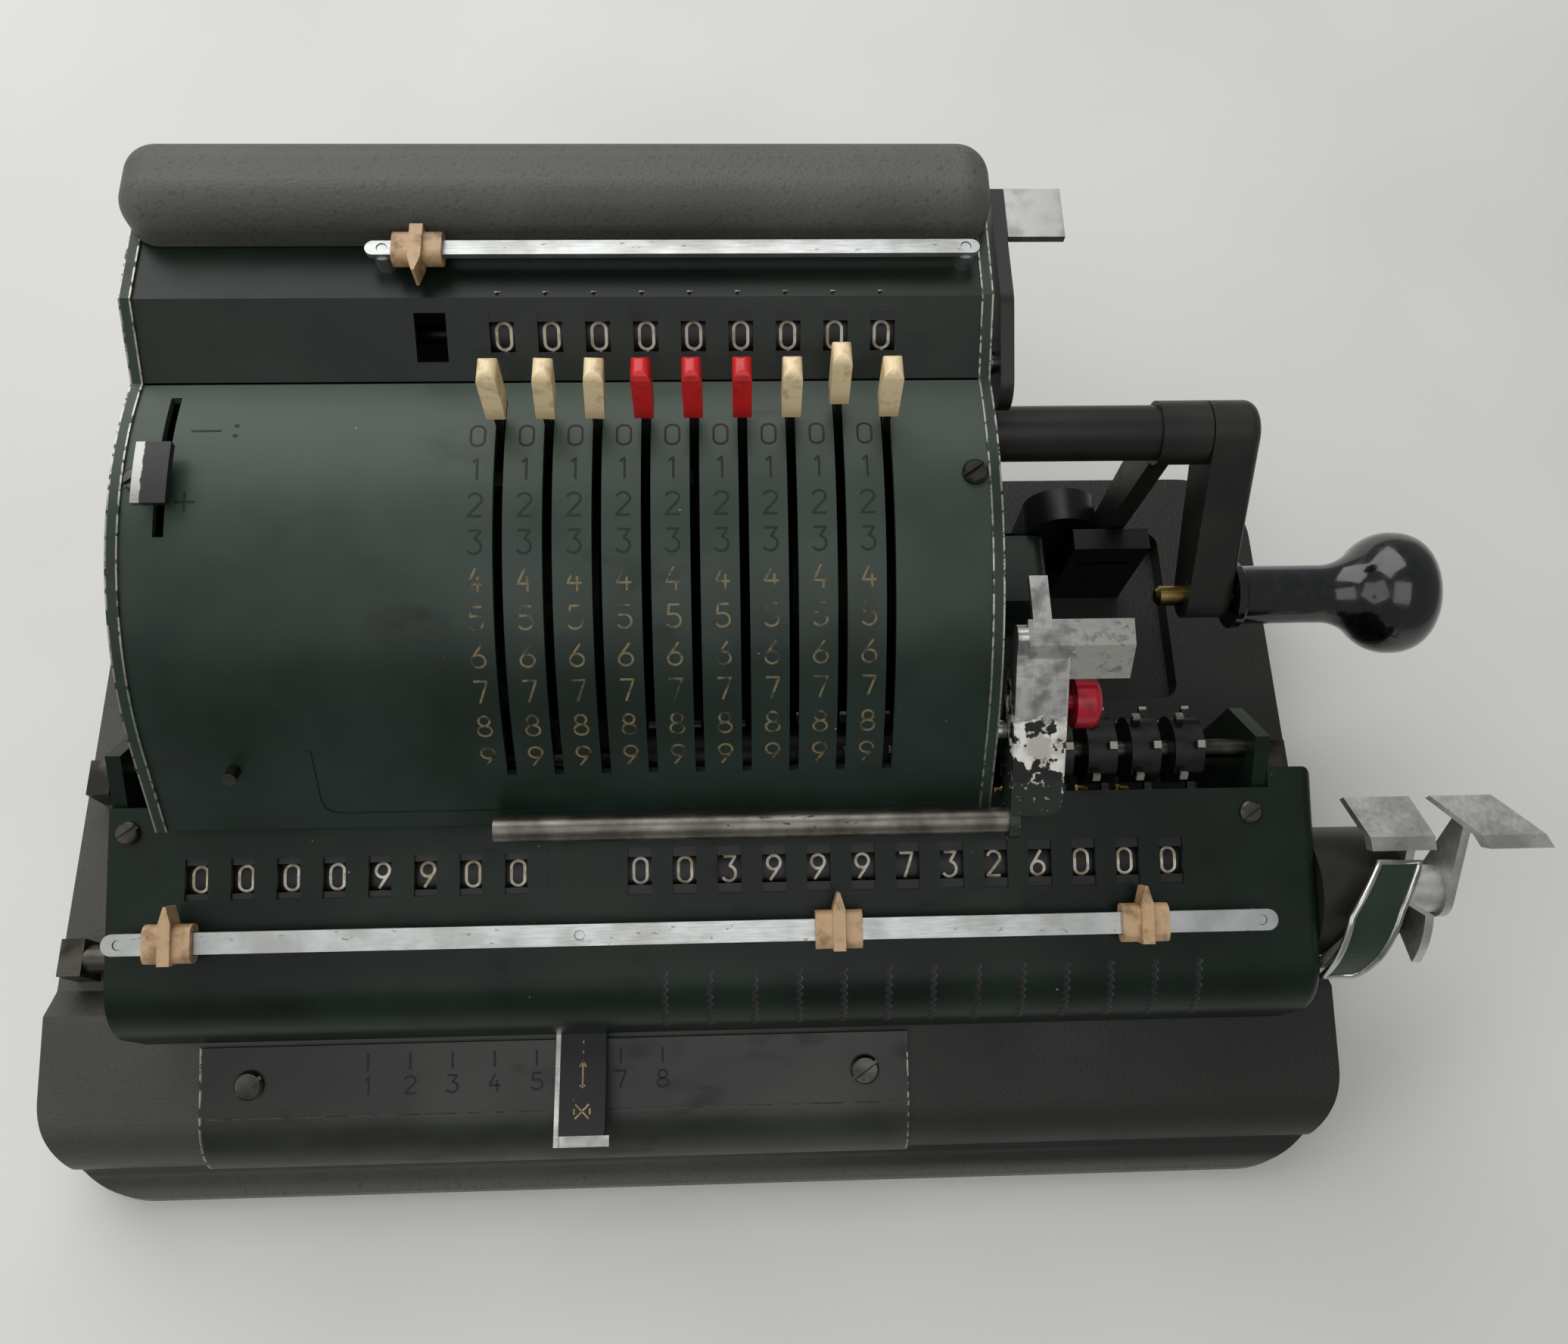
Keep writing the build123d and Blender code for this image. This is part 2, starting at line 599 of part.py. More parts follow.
def pinwheel_shaft():
    """Drum shaft, carried in both side plates, with the gear that turns it."""
    gear = along_x(Pos(DRUM_Y, DRUM_Z) * gear_face(CRANK_GEAR_RADIUS, SHAFT_RADIUS - 1, 20, 2.2),
                   GEAR_X, GEAR_X + GEAR_WIDTH)
    return rod_x(DRUM_Y, DRUM_Z, SHAFT_RADIUS, BODY_LEFT, BODY_RIGHT) + gear


def pinwheels():
    """Nine pin discs, each beside its setting lever, with the notches of nine drawn-in pins."""
    face = Circle(PINWHEEL_RADIUS) - Circle(SHAFT_RADIUS)
    face -= [Rot(0, 0, 12.0 * k) * Pos(PINWHEEL_RADIUS, 0) * Rectangle(5, 1.6) for k in range(-4, 5)]
    face = Pos(DRUM_Y, DRUM_Z) * face
    starts = [lever_x(n) + LEVER_SHEET / 2 + 2 * RUNNING_GAP for n in range(1, LEVER_COUNT + 1)]
    return [along_x(face, start, start + PINWHEEL_WIDTH) for start in starts]


def gear_face(radius, bore, teeth, depth):
    """Spur gear outline with straight-sided teeth."""
    points = []
    step = 2 * math.pi / teeth
    for k in range(teeth):
        for share, reach in ((-0.30, radius - depth), (-0.14, radius), (0.14, radius), (0.30, radius - depth)):
            angle = (k + share) * step
            points.append((reach * math.cos(angle), reach * math.sin(angle)))
    return make_face(Polyline(*points, close=True)) - Circle(bore)


def idler_place():
    """Centre and tip radius of the idler between the crank gear and the drum gear."""
    span = math.hypot(CRANK_Y - DRUM_Y, CRANK_Z - DRUM_Z)
    radius = span / 2 - CRANK_GEAR_RADIUS - RUNNING_GAP / 2
    return ((CRANK_Y + DRUM_Y) / 2, (CRANK_Z + DRUM_Z) / 2, radius)


def idler_gear():
    """Idler between the crank's gear and the drum's gear."""
    y, z, radius = idler_place()
    face = gear_face(radius, PIN_RADIUS + RUNNING_GAP, 12, 2.0)
    return along_x(Pos(y, z) * face, GEAR_X, GEAR_X + GEAR_WIDTH)


def pivot_pins():
    """Pins on the right side plate: idler stud, setting-clear pivot, back-transfer pivot."""
    y, z, _ = idler_place()
    return [
        rod_x(y, z, PIN_RADIUS, GEAR_X - 1, BODY_RIGHT - PLATE),
        rod_x(*CLEAR_PIVOT, PIN_RADIUS, BODY_RIGHT, CLEAR_X + CLEAR_SHEET + 1),
        rod_x(*transfer_pivot(), PIN_RADIUS, BODY_RIGHT, TRANSFER_X + TRANSFER_SHEET + 1),
    ]


def intermediate_gears():
    """Nine pinions that pass the drum's pins on to the carriage."""
    face = Pos(*PINION_AXIS) * gear_face(PINION_RADIUS, PIN_RADIUS + RUNNING_GAP, 10, 2.0)
    return [along_x(face, lever_x(n) + PINION_START, lever_x(n) + PINION_START + PINION_WIDTH)
            for n in range(1, LEVER_COUNT + 1)]


def body_shafts():
    """Shafts of the check wheels and of the pinions, between the side plates and bearing blocks."""
    check = rod_x(*check_axis(), PIN_RADIUS, BODY_LEFT + PLATE, BODY_RIGHT - PLATE)
    y, z = PINION_AXIS
    ends = (lever_x(1) - 5, lever_x(LEVER_COUNT) + 8)
    blocks = []
    for x in (ends[0] - 3, ends[1]):
        arm = block((x, x + 3), (y - 3, PLATE_FRONT_Y), (RAIL_Z + RAIL_RADIUS + 3, z + 4))
        blocks.append(arm + block((x, x + 3), (RAIL_YS[1] + RAIL_RADIUS + 1, PLATE_FRONT_Y), (DECK_Z, z)))
    return [check, rod_x(y, z, PIN_RADIUS, *ends)] + blocks


# ---------------------------------------------------------------- number wheels
def check_axis():
    """Axis of the check wheels under the window panel."""
    return panel_point(0.52, CHECK_WHEEL_RADIUS + COVER_INSET + SHEET + 0.5)


def check_wheels():
    """Nine number wheels under the upper windows."""
    face = Pos(*check_axis()) * (Circle(CHECK_WHEEL_RADIUS) - Circle(PIN_RADIUS + RUNNING_GAP))
    half = REGISTER_WHEEL_WIDTH / 2
    return [along_x(face, lever_x(n) - half, lever_x(n) + half) for n in range(1, LEVER_COUNT + 1)]


def register_axis():
    """Axis of the counter and result wheels under the carriage windows."""
    angle = math.radians(CARRIAGE_SLOPE)
    depth = REGISTER_WHEEL_RADIUS + SHEET + 0.5
    return (WINDOW_Y + depth * math.sin(angle), carriage_z(WINDOW_Y) - depth * math.cos(angle))


def number_wheels(first_x, count):
    """A row of number wheels with their pinions on the register shaft."""
    place = Pos(*register_axis())
    bore = REGISTER_SHAFT_RADIUS + RUNNING_GAP
    rim = place * (Circle(REGISTER_WHEEL_RADIUS) - Circle(bore))
    pinion = place * gear_face(WHEEL_PINION_RADIUS, bore, 10, 2.0)
    half = REGISTER_WHEEL_WIDTH / 2
    wheels = []
    for x in (first_x + k * PITCH for k in range(count)):
        wheels.append(along_x(rim, x - half, x + half) + along_x(pinion, x - half - PINION_WIDTH, x - half))
    return wheels


def transfer_gears():
    """Idlers in the carriage between the drum's pinions and the result wheels."""
    face = Pos(*TRANSFER_GEAR_AXIS) * gear_face(TRANSFER_GEAR_RADIUS, CARRY_SHAFT_RADIUS + RUNNING_GAP, 8, 1.6)
    starts = [RESULT_FIRST_X + k * PITCH - REGISTER_WHEEL_WIDTH / 2 - PINION_WIDTH for k in range(RESULT_COUNT)]
    return [along_x(face, start, start + PINION_WIDTH - RUNNING_GAP) for start in starts]


# ---------------------------------------------------------------- carriage
def carriage_face(inset, back_y, bottom_z):
    """Section of the carriage, drawn in by an inset."""
    angle = math.radians(CARRIAGE_SLOPE)
    drop = inset / math.cos(angle)
    radius = CARRIAGE_ROLL - inset
    front = CARRIAGE_FRONT_Y + inset
    centre_y = CARRIAGE_FRONT_Y + CARRIAGE_ROLL
    top_y = centre_y - CARRIAGE_ROLL * math.sin(angle)
    centre_z = carriage_z(top_y) - CARRIAGE_ROLL * math.cos(angle)
    tangent = (centre_y - radius * math.sin(angle), centre_z + radius * math.cos(angle))
    return outline(
        Line((back_y, carriage_z(back_y) - drop), tangent),
        CenterArc((centre_y, centre_z), radius, 90 + CARRIAGE_SLOPE, 90 - CARRIAGE_SLOPE),
        Line((front, centre_z), (front, bottom_z)),
        Line((front, bottom_z), (back_y, bottom_z)),
        Line((back_y, bottom_z), (back_y, carriage_z(back_y) - drop)),
    )


def carriage_cover():
    """Folded carriage cover with eight counter windows and thirteen result windows."""
    shell = along_x(carriage_face(0, CARRIAGE_BACK_Y, CARRIAGE_BOTTOM_Z), CARRIAGE_LEFT, CARRIAGE_RIGHT)
    hollow = carriage_face(SHEET, CARRIAGE_BACK_Y + 1, CARRIAGE_BOTTOM_Z - 1)
    shell -= along_x(hollow, CARRIAGE_LEFT - 1, CARRIAGE_RIGHT + 1)
    cuts = []
    for first, count, size in ((RESULT_FIRST_X, RESULT_COUNT, RESULT_WINDOW),
                               (COUNTER_FIRST_X, COUNTER_COUNT, COUNTER_WINDOW)):
        for k in range(count):
            frame = window_frame(first + k * PITCH, WINDOW_Y, carriage_z(WINDOW_Y), CARRIAGE_SLOPE)
            cuts.append(frame * Box(*size, 8))
    return shell - cuts


def end_wall(x_from):
    """End wall that fills the cover's section and carries the shafts behind it."""
    back = RAIL_YS[1] + 4
    tongue = polygon((CARRIAGE_BACK_Y, CARRIAGE_BOTTOM_Z), (back, CARRIAGE_BOTTOM_Z), (back, 62),
                     (CARRY_Y, 74), (CARRIAGE_BACK_Y, carriage_z(CARRIAGE_BACK_Y) - SHEET))
    face = carriage_face(SHEET, CARRIAGE_BACK_Y, CARRIAGE_BOTTOM_Z) + tongue
    return along_x(face, x_from, x_from + END_WALL)


def carriage_right_end():
    """Right end wall, with the stepped end cap that stands out past the cover."""
    face = carriage_face(0, CARRIAGE_BACK_Y + 4, CARRIAGE_BOTTOM_Z)
    cap = along_x(face, CARRIAGE_RIGHT, CARRIAGE_RIGHT + END_CAP_WIDTH)
    cap = fillet(cap.faces().sort_by(Axis.X)[-1].edges().sort_by(Axis.Z)[1:], 2.5)
    return end_wall(CARRIAGE_RIGHT - END_WALL) + cap


def carriage_shafts():
    """Register, carry and transfer shafts, between the carriage's end walls."""
    span = (CARRIAGE_LEFT + END_WALL, CARRIAGE_RIGHT - END_WALL)
    return [
        rod_x(*register_axis(), REGISTER_SHAFT_RADIUS, *span),
        rod_x(CARRY_Y, CARRY_Z, CARRY_SHAFT_RADIUS, *span),
        rod_x(*TRANSFER_GEAR_AXIS, CARRY_SHAFT_RADIUS, *span),
    ]


def carry_drum(x):
    """Tens-carry drum with eight staggered pins round it."""
    ring = Circle(CARRY_RADIUS) - Circle(CARRY_SHAFT_RADIUS + RUNNING_GAP)
    drum = along_x(Pos(CARRY_Y, CARRY_Z) * ring, x - 3, x + 3)
    for k in range(8):
        pin = Box(1.5, 1.5, CARRY_PIN_REACH - CARRY_RADIUS + 1, align=(Align.CENTER, Align.CENTER, Align.MIN))
        turn = Pos(x + (-1.6 if k % 2 else 1.6), CARRY_Y, CARRY_Z) * Rot(45 * k + 10, 0, 0)
        drum += turn * Pos(0, 0, CARRY_RADIUS - 1) * pin
    return drum


def carry_drums():
    """One carry drum behind each result wheel but the first."""
    return [carry_drum(RESULT_FIRST_X + (k + 0.5) * PITCH) for k in range(RESULT_COUNT)]


# ---------------------------------------------------------------- shift key
def shift_key():
    """Flat shift key that tilts under the carriage's front edge."""
    half = KEY_WIDTH / 2
    key = block((KEY_X - half, KEY_X + half), (KEY_FRONT_Y, KEY_BACK_Y), (KEY_TOP_Z - 3.5, KEY_TOP_Z))
    return fillet(key.edges().filter_by(Axis.Z), 0.8)


def shift_key_bar():
    """Plated strip that wraps the key's left side and front."""
    left, right = KEY_X - KEY_WIDTH / 2, KEY_X + KEY_WIDTH / 2
    side = block((left - 1.0, left), (KEY_FRONT_Y - 2.2, KEY_BACK_Y - 2), (KEY_TOP_Z - 4.2, KEY_TOP_Z - 0.3))
    front = block((left, right + 0.8), (KEY_FRONT_Y - 2.2, KEY_FRONT_Y), (KEY_TOP_Z - 4.2, KEY_TOP_Z - 1.2))
    return side + front


# ---------------------------------------------------------------- crank
def crank_bearing():
    """Long bearing tube that stands out from the right side plate."""
    tube = rod_x(CRANK_Y, CRANK_Z, CRANK_TUBE_RADIUS, BODY_RIGHT, CRANK_TUBE_END)
    return tube - rod_x(CRANK_Y, CRANK_Z, CRANK_SHAFT_RADIUS + RUNNING_GAP, BODY_RIGHT - 1, CRANK_TUBE_END + 1)


def outboard_bracket():
    """Boss at the end of the bearing tube on a leg that stands in the tray, clear of the crank's pin."""
    boss = rod_x(CRANK_Y, CRANK_Z, 6.6, CRANK_TUBE_END, BOSS_END)
    leg = polygon((CRANK_Y - 4.5, CRANK_Z), (CRANK_Y + 5.5, CRANK_Z),
                  (64.2, TRAY_FLOOR_Z), (58.6, TRAY_FLOOR_Z))
    bracket = boss + along_x(leg, CRANK_TUBE_END, PIN_TIP_X - RUNNING_GAP)
    return bracket - rod_x(CRANK_Y, CRANK_Z, CRANK_SHAFT_RADIUS + RUNNING_GAP, CRANK_TUBE_END - 1, BOSS_END + 1)


def crank_shaft():
    """Crank shaft with its gear inside the right side plate."""
    shaft = rod_x(CRANK_Y, CRANK_Z, CRANK_SHAFT_RADIUS, GEAR_X - 2, BOSS_END + RUNNING_GAP)
    face = gear_face(CRANK_GEAR_RADIUS, CRANK_SHAFT_RADIUS - 1, 20, 2.2)
    return shaft + along_x(Pos(CRANK_Y, CRANK_Z) * face, GEAR_X, GEAR_X + GEAR_WIDTH)


def crank_arm():
    """Pressed crank arm, thick at the hub and narrower at the grip."""
    start = BOSS_END + RUNNING_GAP
    arm = along_x(hull_of((CRANK_Y, CRANK_Z, 6.6), (GRIP_Y, GRIP_Z, 4.9)), start, start + ARM_WIDTH)
    return fillet(arm.faces().sort_by(Axis.X)[-1].edges(), 2.6)


def crank_spindle():
    """Pin that points at the machine from the arm's foot, and the grip's pivot on the other side."""
    start = BOSS_END + RUNNING_GAP
    pin = rod_x(GRIP_Y, GRIP_Z, SPINDLE_RADIUS, PIN_TIP_X, start)
    pin = chamfer(pin.faces().sort_by(Axis.X)[0].edges(), 0.8)
    outside = start + ARM_WIDTH
    return [pin, rod_x(GRIP_Y, GRIP_Z, SPINDLE_RADIUS, outside, outside + GRIP_LENGTH - 12)]


def crank_grip():
    """Turned grip: a slim neck that swells into a round head."""
    start = BOSS_END + RUNNING_GAP + ARM_WIDTH + RUNNING_GAP
    neck, ball, bore = GRIP_RADIUS, GRIP_BALL_RADIUS, SPINDLE_RADIUS + RUNNING_GAP
    length = GRIP_LENGTH
    face = make_face(Curve() + [
        Line((0, bore), (0, neck + 0.9)),
        Line((0, neck + 0.9), (1.6, neck + 0.9)),
        Line((1.6, neck + 0.9), (2.4, neck)),
        Line((2.4, neck), (length - 25, neck)),
        TangentArc((length - 25, neck), (length - 17, neck + 3.4), tangent=(1, 0)),
        Spline([(length - 17, neck + 3.4), (length - 9, ball)], tangents=[(1, 1), (1, 0)]),
        Spline([(length - 9, ball), (length, 0)], tangents=[(1, 0), (0, -1)]),
        Line((length, 0), (length - 10, 0)),
        Line((length - 10, 0), (length - 10, bore)),
        Line((length - 10, bore), (0, bore)),
    ])
    return Pos(start, GRIP_Y, GRIP_Z) * revolve(face, Axis.X)


# ---------------------------------------------------------------- right-hand works
def stop_block():
    """Black block with a slit, which stands in the tray under the crank's pin."""
    x_range, y_range, top = STOP_BLOCK
    slit_x, slit_z = STOP_SLIT
    body = block(x_range, y_range, (TRAY_FLOOR_Z, top))
    return body - block(slit_x, (y_range[0] - 1, y_range[0] + 1.6), slit_z)


def gear_bracket():
    """Painted bracket beside the body, with a rounded front edge."""
    body = block((BODY_RIGHT, GEAR_BRACKET_END), GEAR_BRACKET_YS, (TRAY_FLOOR_Z + 6, GEAR_BRACKET_TOP))
    body = body + block((BODY_RIGHT + 3.5, GEAR_BRACKET_END), GEAR_BRACKET_YS, (TRAY_FLOOR_Z, GEAR_BRACKET_TOP))
    return fillet(body.edges().filter_by(Axis.Y).sort_by(Axis.X)[-2:], 3)


def drive_housing():
    """Dark arched housing behind the stop block."""
    left, right = HOUSING_XS
    crown = ((left + right) / 2, HOUSING_CROWN_Z)
    arch = make_face(Curve() + [
        Line((left, TRAY_FLOOR_Z), (left, HOUSING_SPRING_Z)),
        ThreePointArc((left, HOUSING_SPRING_Z), crown, (right, HOUSING_SPRING_Z)),
        Line((right, HOUSING_SPRING_Z), (right, TRAY_FLOOR_Z)),
        Line((right, TRAY_FLOOR_Z), (left, TRAY_FLOOR_Z)),
    ])
    back = Plane(origin=(0, HOUSING_BACK_Y, 0), x_dir=(1, 0, 0), z_dir=(0, -1, 0))
    return extrude(back * arch, HOUSING_DEPTH)


# ---------------------------------------------------------------- hand levers
def setting_clear_lever():
    """Side lever that clears the setting, with a bent thumb tab at the rear."""
    y, z = CLEAR_PIVOT
    arm = hull_of((y - 5, z + 1, 5.5), (y + 8, z + 5, 7.0)) + hull_of((y + 8, z + 7, 5.0), (96, 114.5, 2.9))
    arm -= Pos(y, z) * Circle(PIN_RADIUS + RUNNING_GAP)
    lever = along_x(arm, CLEAR_X, CLEAR_X + CLEAR_SHEET)
    width, depth, sheet = CLEAR_TAB
    tab = block((CLEAR_X, CLEAR_X + width), (98.5 - depth, 98.5), (116.0, 116.0 + sheet))
    return lever + tab


def rod_place():
    """Axis of the plated rod, clear of the apron and a little above its lower edge."""
    return apron_point(APRON_LENGTH - ROD_ABOVE_LIP, ROD_RADIUS + ROD_CLEARANCE)


def transfer_pivot():
    """Pivot of the back-transfer lever, just inside the side plate's front edge."""
    return apron_point(TRANSFER_PIVOT_DOWN, -TRANSFER_PIVOT_IN)


def back_transfer_lever():
    """Bent sheet lever: side web on its pivot, front strip with a rounded foot, finger tab and tongue."""
    y, z = transfer_pivot()
    knob = (y + KNOB_FROM_PIVOT[0], z + KNOB_FROM_PIVOT[1])
    web = hull_of((y, z, 4.2), (*rod_place(), 3.6)) + hull_of((y, z, 4.2), (y + 13, z + 16, 2.4))
    web -= [Pos(y, z) * Circle(PIN_RADIUS + RUNNING_GAP), Pos(*knob) * Circle(KNOB_PIN_RADIUS + RUNNING_GAP)]
    lever = along_x(web, TRANSFER_X, TRANSFER_X + TRANSFER_SHEET)

    def sheet(*offsets):
        return polygon(*((y + over, z + up) for over, up in offsets))

    strip = sheet((-16.6, -2.4), (-5.5, 5.6), (11.8, 17.4), (12.8, 16.0), (-4.6, 4.2), (-15.8, -3.8))
    front = along_x(strip, TRANSFER_X, TRANSFER_X + 10)
    outer_end = front.faces().sort_by(Axis.X)[-1]
    lever += fillet(outer_end.edges().sort_by(Axis.Y)[0], 3.0)
    tab = sheet((6.2, 11.6), (10.6, 17.8), (15.6, 18.6), (15.6, 17.0), (11.8, 16.3), (7.6, 10.6))
    plate = along_x(tab, TRANSFER_X + TRANSFER_SHEET, TRANSFER_TAB_END)
    lever += plate
    tongue = block((TRANSFER_X + 3, TRANSFER_X + 6.5), (y + 13, y + 24.5), (z + 17.0, z + 18.6))
    return lever + tongue


def back_transfer_rod():
    """Plated rod along the apron, fixed in the back-transfer lever."""
    return rod_x(*rod_place(), ROD_RADIUS, ROD_LEFT, TRANSFER_X)


def red_knob():
    """Round push knob on its pin in the back-transfer lever."""
    y, z = transfer_pivot()
    y, z = y + KNOB_FROM_PIVOT[0], z + KNOB_FROM_PIVOT[1]
    start = TRANSFER_X + RUNNING_GAP
    knob = rod_x(y, z, KNOB_RADIUS, start + KNOB_REACH, start + KNOB_REACH + KNOB_LENGTH)
    knob = fillet(knob.faces().sort_by(Axis.X)[-1].edges(), 1.6)
    return knob + rod_x(y, z, KNOB_PIN_RADIUS, start, start + KNOB_REACH)


def sign_lever():
    """Sign lever: hub on the drum shaft, stem through its slot, folded tab outside."""
    blade = make_face(Polyline((0, -5), (40, -3.0), (66.4, -3.0), (66.4, 3.0), (40, 3.0), (0, 5), close=True))
    blade = blade + Circle(LEVER_HUB_RADIUS) - Circle(SHAFT_RADIUS + RUNNING_GAP)
    lever = along_x(Pos(DRUM_Y, DRUM_Z) * Rot(0, 0, SIGN_ANGLE) * blade, SIGN_X - 0.7, SIGN_X + 0.7)
    first, last = SIGN_ANGLE - 5.5, SIGN_ANGLE + 4.5
    tab = outline(
        CenterArc((DRUM_Y, DRUM_Z), 68.0, first, last - first),
        Line(polar(68.0, last), polar(66.4, last)),
        CenterArc((DRUM_Y, DRUM_Z), 66.4, last, first - last),
        Line(polar(66.4, first), polar(68.0, first)),
    )
    return lever + along_x(tab, SIGN_X - 3.2, SIGN_X + 3.0)


def prism(points, z_from, z_to):
    """Upright solid over a plan outline."""
    return extrude(Pos(0, 0, z_from) * make_face(Polyline(*points, close=True)), z_to - z_from, dir=(0, 0, 1))


def clearing_sector(inner, outer, from_angle, to_angle, x_from, x_to):
    """Curved plate concentric with the clearing shaft, angles from +Y."""
    def spot(radius, degrees):
        angle = math.radians(degrees)
        return (CLEARING_AXIS[0] + radius * math.cos(angle), CLEARING_AXIS[1] + radius * math.sin(angle))
    face = outline(
        CenterArc(CLEARING_AXIS, outer, from_angle, to_angle - from_angle),
        Line(spot(outer, to_angle), spot(inner, to_angle)),
        CenterArc(CLEARING_AXIS, inner, to_angle, from_angle - to_angle),
        Line(spot(inner, from_angle), spot(outer, from_angle)),
    )
    return along_x(face, x_from, x_to)


def clearing_drum():
    """Dark housing of the register-clearing works at the carriage's right end, and its shaft."""
    drum = rod_x(*CLEARING_AXIS, CLEARING_RADIUS, CARRIAGE_RIGHT + END_CAP_WIDTH, CLEARING_DRUM_END)
    drum = chamfer(drum.faces().sort_by(Axis.X)[-1].edges(), 2.5)
    end = COUNTER_WEB_X + CLEARING_SHEET + 1.5
    return drum + rod_x(*CLEARING_AXIS, CLEARING_SHAFT_RADIUS, CLEARING_DRUM_END, end)


def thumb_tab(corners):
    """Slanting thumb tab with a lip along its front edge, set by its corners past the cover."""
    rear_left, rear_right, front_left, front_right = (CARRIAGE_RIGHT + distance for distance in corners)
    profile = polygon((-25.4, 69.4), (-23.0, 71.6), (-14.5, 71.0), (-14.5, 69.2), (-22.4, 69.6), (-24.6, 67.6))
    plan = prism([(rear_left, -14.0), (rear_right, -14.0), (front_right, -25.6), (front_left, -25.6)], 60, 80)
    return along_x(profile, rear_left - 1, front_right + 1) & plan


def clearing_web(x_from):
    """Web of a clearing lever, from its hub up to its thumb tab."""
    y, z = CLEARING_AXIS
    face = hull_of((y, z, 6.0), (-19.0, 67.8, 1.9)) - Pos(y, z) * Circle(CLEARING_SHAFT_RADIUS + RUNNING_GAP)
    return along_x(face, x_from, x_from + CLEARING_SHEET)


def result_clear_lever():
    """Lever that clears the result: thumb tab above, curved finger wing in front of the drum."""
    start = CLEARING_DRUM_END + RUNNING_GAP
    inner = CLEARING_RADIUS + 3 * RUNNING_GAP
    outer = inner + WING_SHEET
    wing_start = CARRIAGE_RIGHT + END_CAP_WIDTH + RUNNING_GAP
    wing = clearing_sector(inner, outer, 128, 190, wing_start, COUNTER_WEB_X)
    plan = [(27.8, -25.0), (38.0, -23.0), (16.6, -49.0), (7.0, -49.0)]
    wing &= prism([(CARRIAGE_RIGHT + x, y) for x, y in plan], 30, 90)
    spread = clearing_sector(4.0, outer, 118, 158, start, start + CLEARING_SHEET)
    return clearing_web(start) + spread + wing + thumb_tab(RESULT_TAB)


def counter_clear_lever():
    """Lever that clears the counter: thumb tab on a web, with a spacing sleeve."""
    y, z = CLEARING_AXIS
    sleeve_start = CLEARING_DRUM_END + 2 * RUNNING_GAP + CLEARING_SHEET
    face = Pos(y, z) * (Circle(5.0) - Circle(CLEARING_SHAFT_RADIUS + RUNNING_GAP))
    sleeve = along_x(face, sleeve_start, COUNTER_WEB_X)
    return clearing_web(COUNTER_WEB_X) + sleeve + thumb_tab(COUNTER_TAB)


# ---------------------------------------------------------------- fasteners
def slotted_screw(frame, radius, height):
    """Cheese-head screw with a slot, standing on its frame."""
    head = Cylinder(radius, height, align=(Align.CENTER, Align.CENTER, Align.MIN))
    head = chamfer(head.faces().sort_by(Axis.Z)[-1].edges(), height * 0.35)
    return frame * (head - Pos(0, 0, height) * Rot(0, 0, 35) * Box(radius * 3, 0.8, height))


def body_screws():
    """Screws of the drum cover and of the number plate, and the apron's stop pin."""
    pieces = []
    for x in (BODY_LEFT + PLATE + 2.6, BODY_RIGHT - PLATE - 2.6):
        place = polar(DRUM_RADIUS - COVER_INSET, BODY_SCREW_ANGLE)
        pieces.append(slotted_screw(window_frame(x, *place, BODY_SCREW_ANGLE - 90), 2.4, 1.2))
    deck = math.radians(DECK_SLOPE)
    for x in PLATE_SCREW_XS:
        y = PLATE_SCREW_Y - PLATE_SHEET * math.sin(deck)
        z = deck_z(PLATE_SCREW_Y) + PLATE_SHEET * math.cos(deck)
        pieces.append(slotted_screw(window_frame(x, y, z, DECK_SLOPE), 3.1, 1.3))
    apron = math.radians(DRUM_LOW_ANGLE - 90)
    y, z = apron_end(DRUM_RADIUS - COVER_INSET)
    rise = 14.0
    frame = window_frame(STOP_PIN_X, y + rise * math.cos(apron), z + rise * math.sin(apron), DRUM_LOW_ANGLE - 90)
    pieces.append(frame * Cylinder(1.3, 3.0, align=(Align.CENTER, Align.CENTER, Align.MIN)))
    return pieces


def carriage_screws():
    """Screws at the two ends of the carriage cover."""
    y = CARRIAGE_BACK_Y - 4.8
    frames = [window_frame(x, y, carriage_z(y), CARRIAGE_SLOPE) for x in (CARRIAGE_LEFT + 4, CARRIAGE_RIGHT - 4)]
    return [slotted_screw(frame, 2.3, 1.2) for frame in frames]


